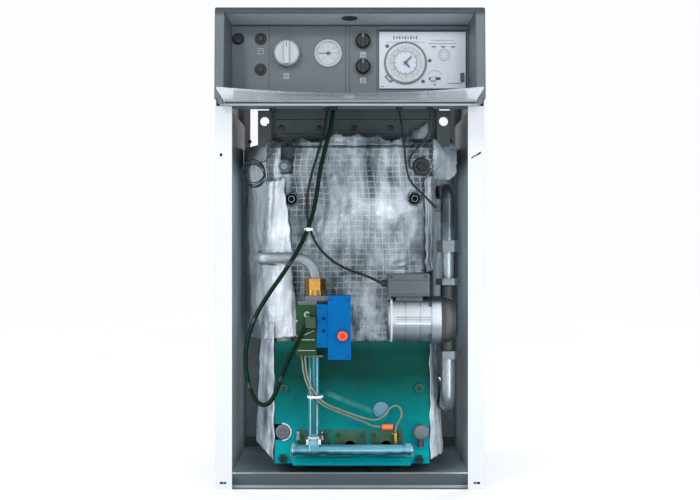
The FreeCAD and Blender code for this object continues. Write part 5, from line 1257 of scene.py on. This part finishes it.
# turned end caps and the socket collar of the manifold
turned("manifold_cap_left", P(-109.8, 95, 59.5), (-1, 0, 0), [(0, 0.0160), (0.001, 0.0165), (0.003, 0.0150), (0.0036, 0.0100), (0.0036, 0.0)], M["bright"], seg=48)
turned("manifold_cap_right", P(117.8, 95, 59.5), (1, 0, 0), [(0, 0.0130), (0.001, 0.0135), (0.003, 0.0120), (0.0036, 0.0080), (0.0036, 0.0)], M["bright"], seg=48)
bm = bmesh.new()
add_turned(bm, P(-70, 95, 81.2), (0, 0, 1), [(0, 0.0146), (0.0012, 0.0152), (0.0052, 0.0152), (0.0062, 0.0142), (0.0062, 0.0112), (0.0, 0.0112)], 48)
for dx in (-11.5, 11.5):
    add_turned(bm, P(-70 + dx, 84.0, 72.0), (0, 0, 1), [(0, 0.0032), (0.009, 0.0032), (0.010, 0.0024), (0.010, 0.0)], 24)
closed("riser_collar", bm, M["bright"])


strap("riser_tie", -67.0, 87.5, 164.0, 14.2, 19.5, 4.2, 1.2, math.radians(-118))

# pump: trim lines on the barrel, end ring, lid joint and screws of the terminal box
bm = bmesh.new()
for dz, mi in ((6.5, 0), (1.5, 0), (-6.0, 1)):
    tt = 110 - math.sqrt(43.0 ** 2 - dz ** 2)
    bar(bm, 121, 310.6 + dz, 66, 1.5, tt - 0.5, tt + 1.0, 0, mi, 0.3)
closed("barrel_trim", bm, [M["grey"], M["print_white"]])
turned("barrel_end_ring", P(81.4, 110, 310.6), (-1, 0, 0), [(0, 0.0436), (0.003, 0.0436), (0.0042, 0.0424), (0.0042, 0.0395), (0.0, 0.0395)], M["pale"], seg=72)
turned("barrel_vent_screw", P(70.9, 110, 310.6), (-1, 0, 0), [(0, 0.0095), (0.0022, 0.0095), (0.0032, 0.0083), (0.0032, 0.0018), (0.0022, 0.0014), (0.0022, 0.0)], M["brass"], seg=40)
for i in range(4):
    a = math.radians(45 + 90 * i)
    turned("pump_bolt_%d" % i, P(157.0, 110 + 44.6 * math.sin(a) * 0.98, 310.6 + 44.6 * math.cos(a) * 0.98), (-1, 0, 0),
           [(0, 0.0052), (0.0044, 0.0052), (0.005, 0.0044), (0.005, 0.0024), (0.003, 0.0022), (0.003, 0.0)], M["dark_bolt"], seg=28)
bm = bmesh.new()
add_box(bm, P(71.4, 79.4, 386.6), P(153.6, 140.6, 387.8))
add_box(bm, P(74.5, 79.2, 360.0), P(150.5, 80.2, 361.2))
bevelled(closed("box_lid_joint", bm, M["seam"]), 0.0003, 1)
for i, (x, z) in enumerate(((79.5, 393.8), (145.5, 393.8))):
    turned("box_screw_%d" % i, P(x, 80.0, z), (0, -1, 0), [(0, 0.0032), (0.0006, 0.0031), (0.001, 0.0023), (0.0005, 0.0017), (0.0005, 0.0)], M["dark_bolt"], seg=28)


# ------------------------------------------------------------------ back and cabinet details
for i, (x, z) in enumerate([(sx * 212, z) for sx in (-1, 1) for z in (24, 170, 320, 470, 612)] + [(-110, 616), (0, 616), (110, 616), (-110, 18), (0, 18), (110, 18)]):
    turned("back_screw_%d" % i, P(x, 558.5, z), (0, 1, 0), [(0, 0.0068), (0.0009, 0.0066), (0.001, 0.0046), (0.0040, 0.0044), (0.0045, 0.0036), (0.0045, 0.0)], M["nut"], seg=24)
for nm, x, z, r in (("gas", -186.5, 430, 15.5), ("flow", 189.5, 143, 19.5), ("return", 6.0, 283, 19.5)):
    bm = bmesh.new()
    annulus(bm, x, z, r, r + 6.5, 559.0, 562.6, 64)
    bevelled(closed("grommet_" + nm, bm, M["black"]), 0.0012, 3)
bm = bmesh.new()
for sx in (-1, 1):
    for z in (40, 250, 460, 690):
        add_turned(bm, P(sx * 226.5, 558.2, z), (0, 1, 0), [(0, 0.0046), (0.0024, 0.0046), (0.003, 0.0036), (0.003, 0.0)], 24)
closed("panel_rivets", bm, M["nut"])
for i, (x, tt) in enumerate(((-232, 190), (232, 190), (-232, 540), (232, 540))):
    turned("cover_fix_%d" % i, P(x, tt, 894.0), (0, 0, 1), [(0, 0.0062), (0.0006, 0.006), (0.0018, 0.0048), (0.0021, 0.003), (0.0013, 0.0014), (0.0013, 0.0)], M["white"], seg=28)
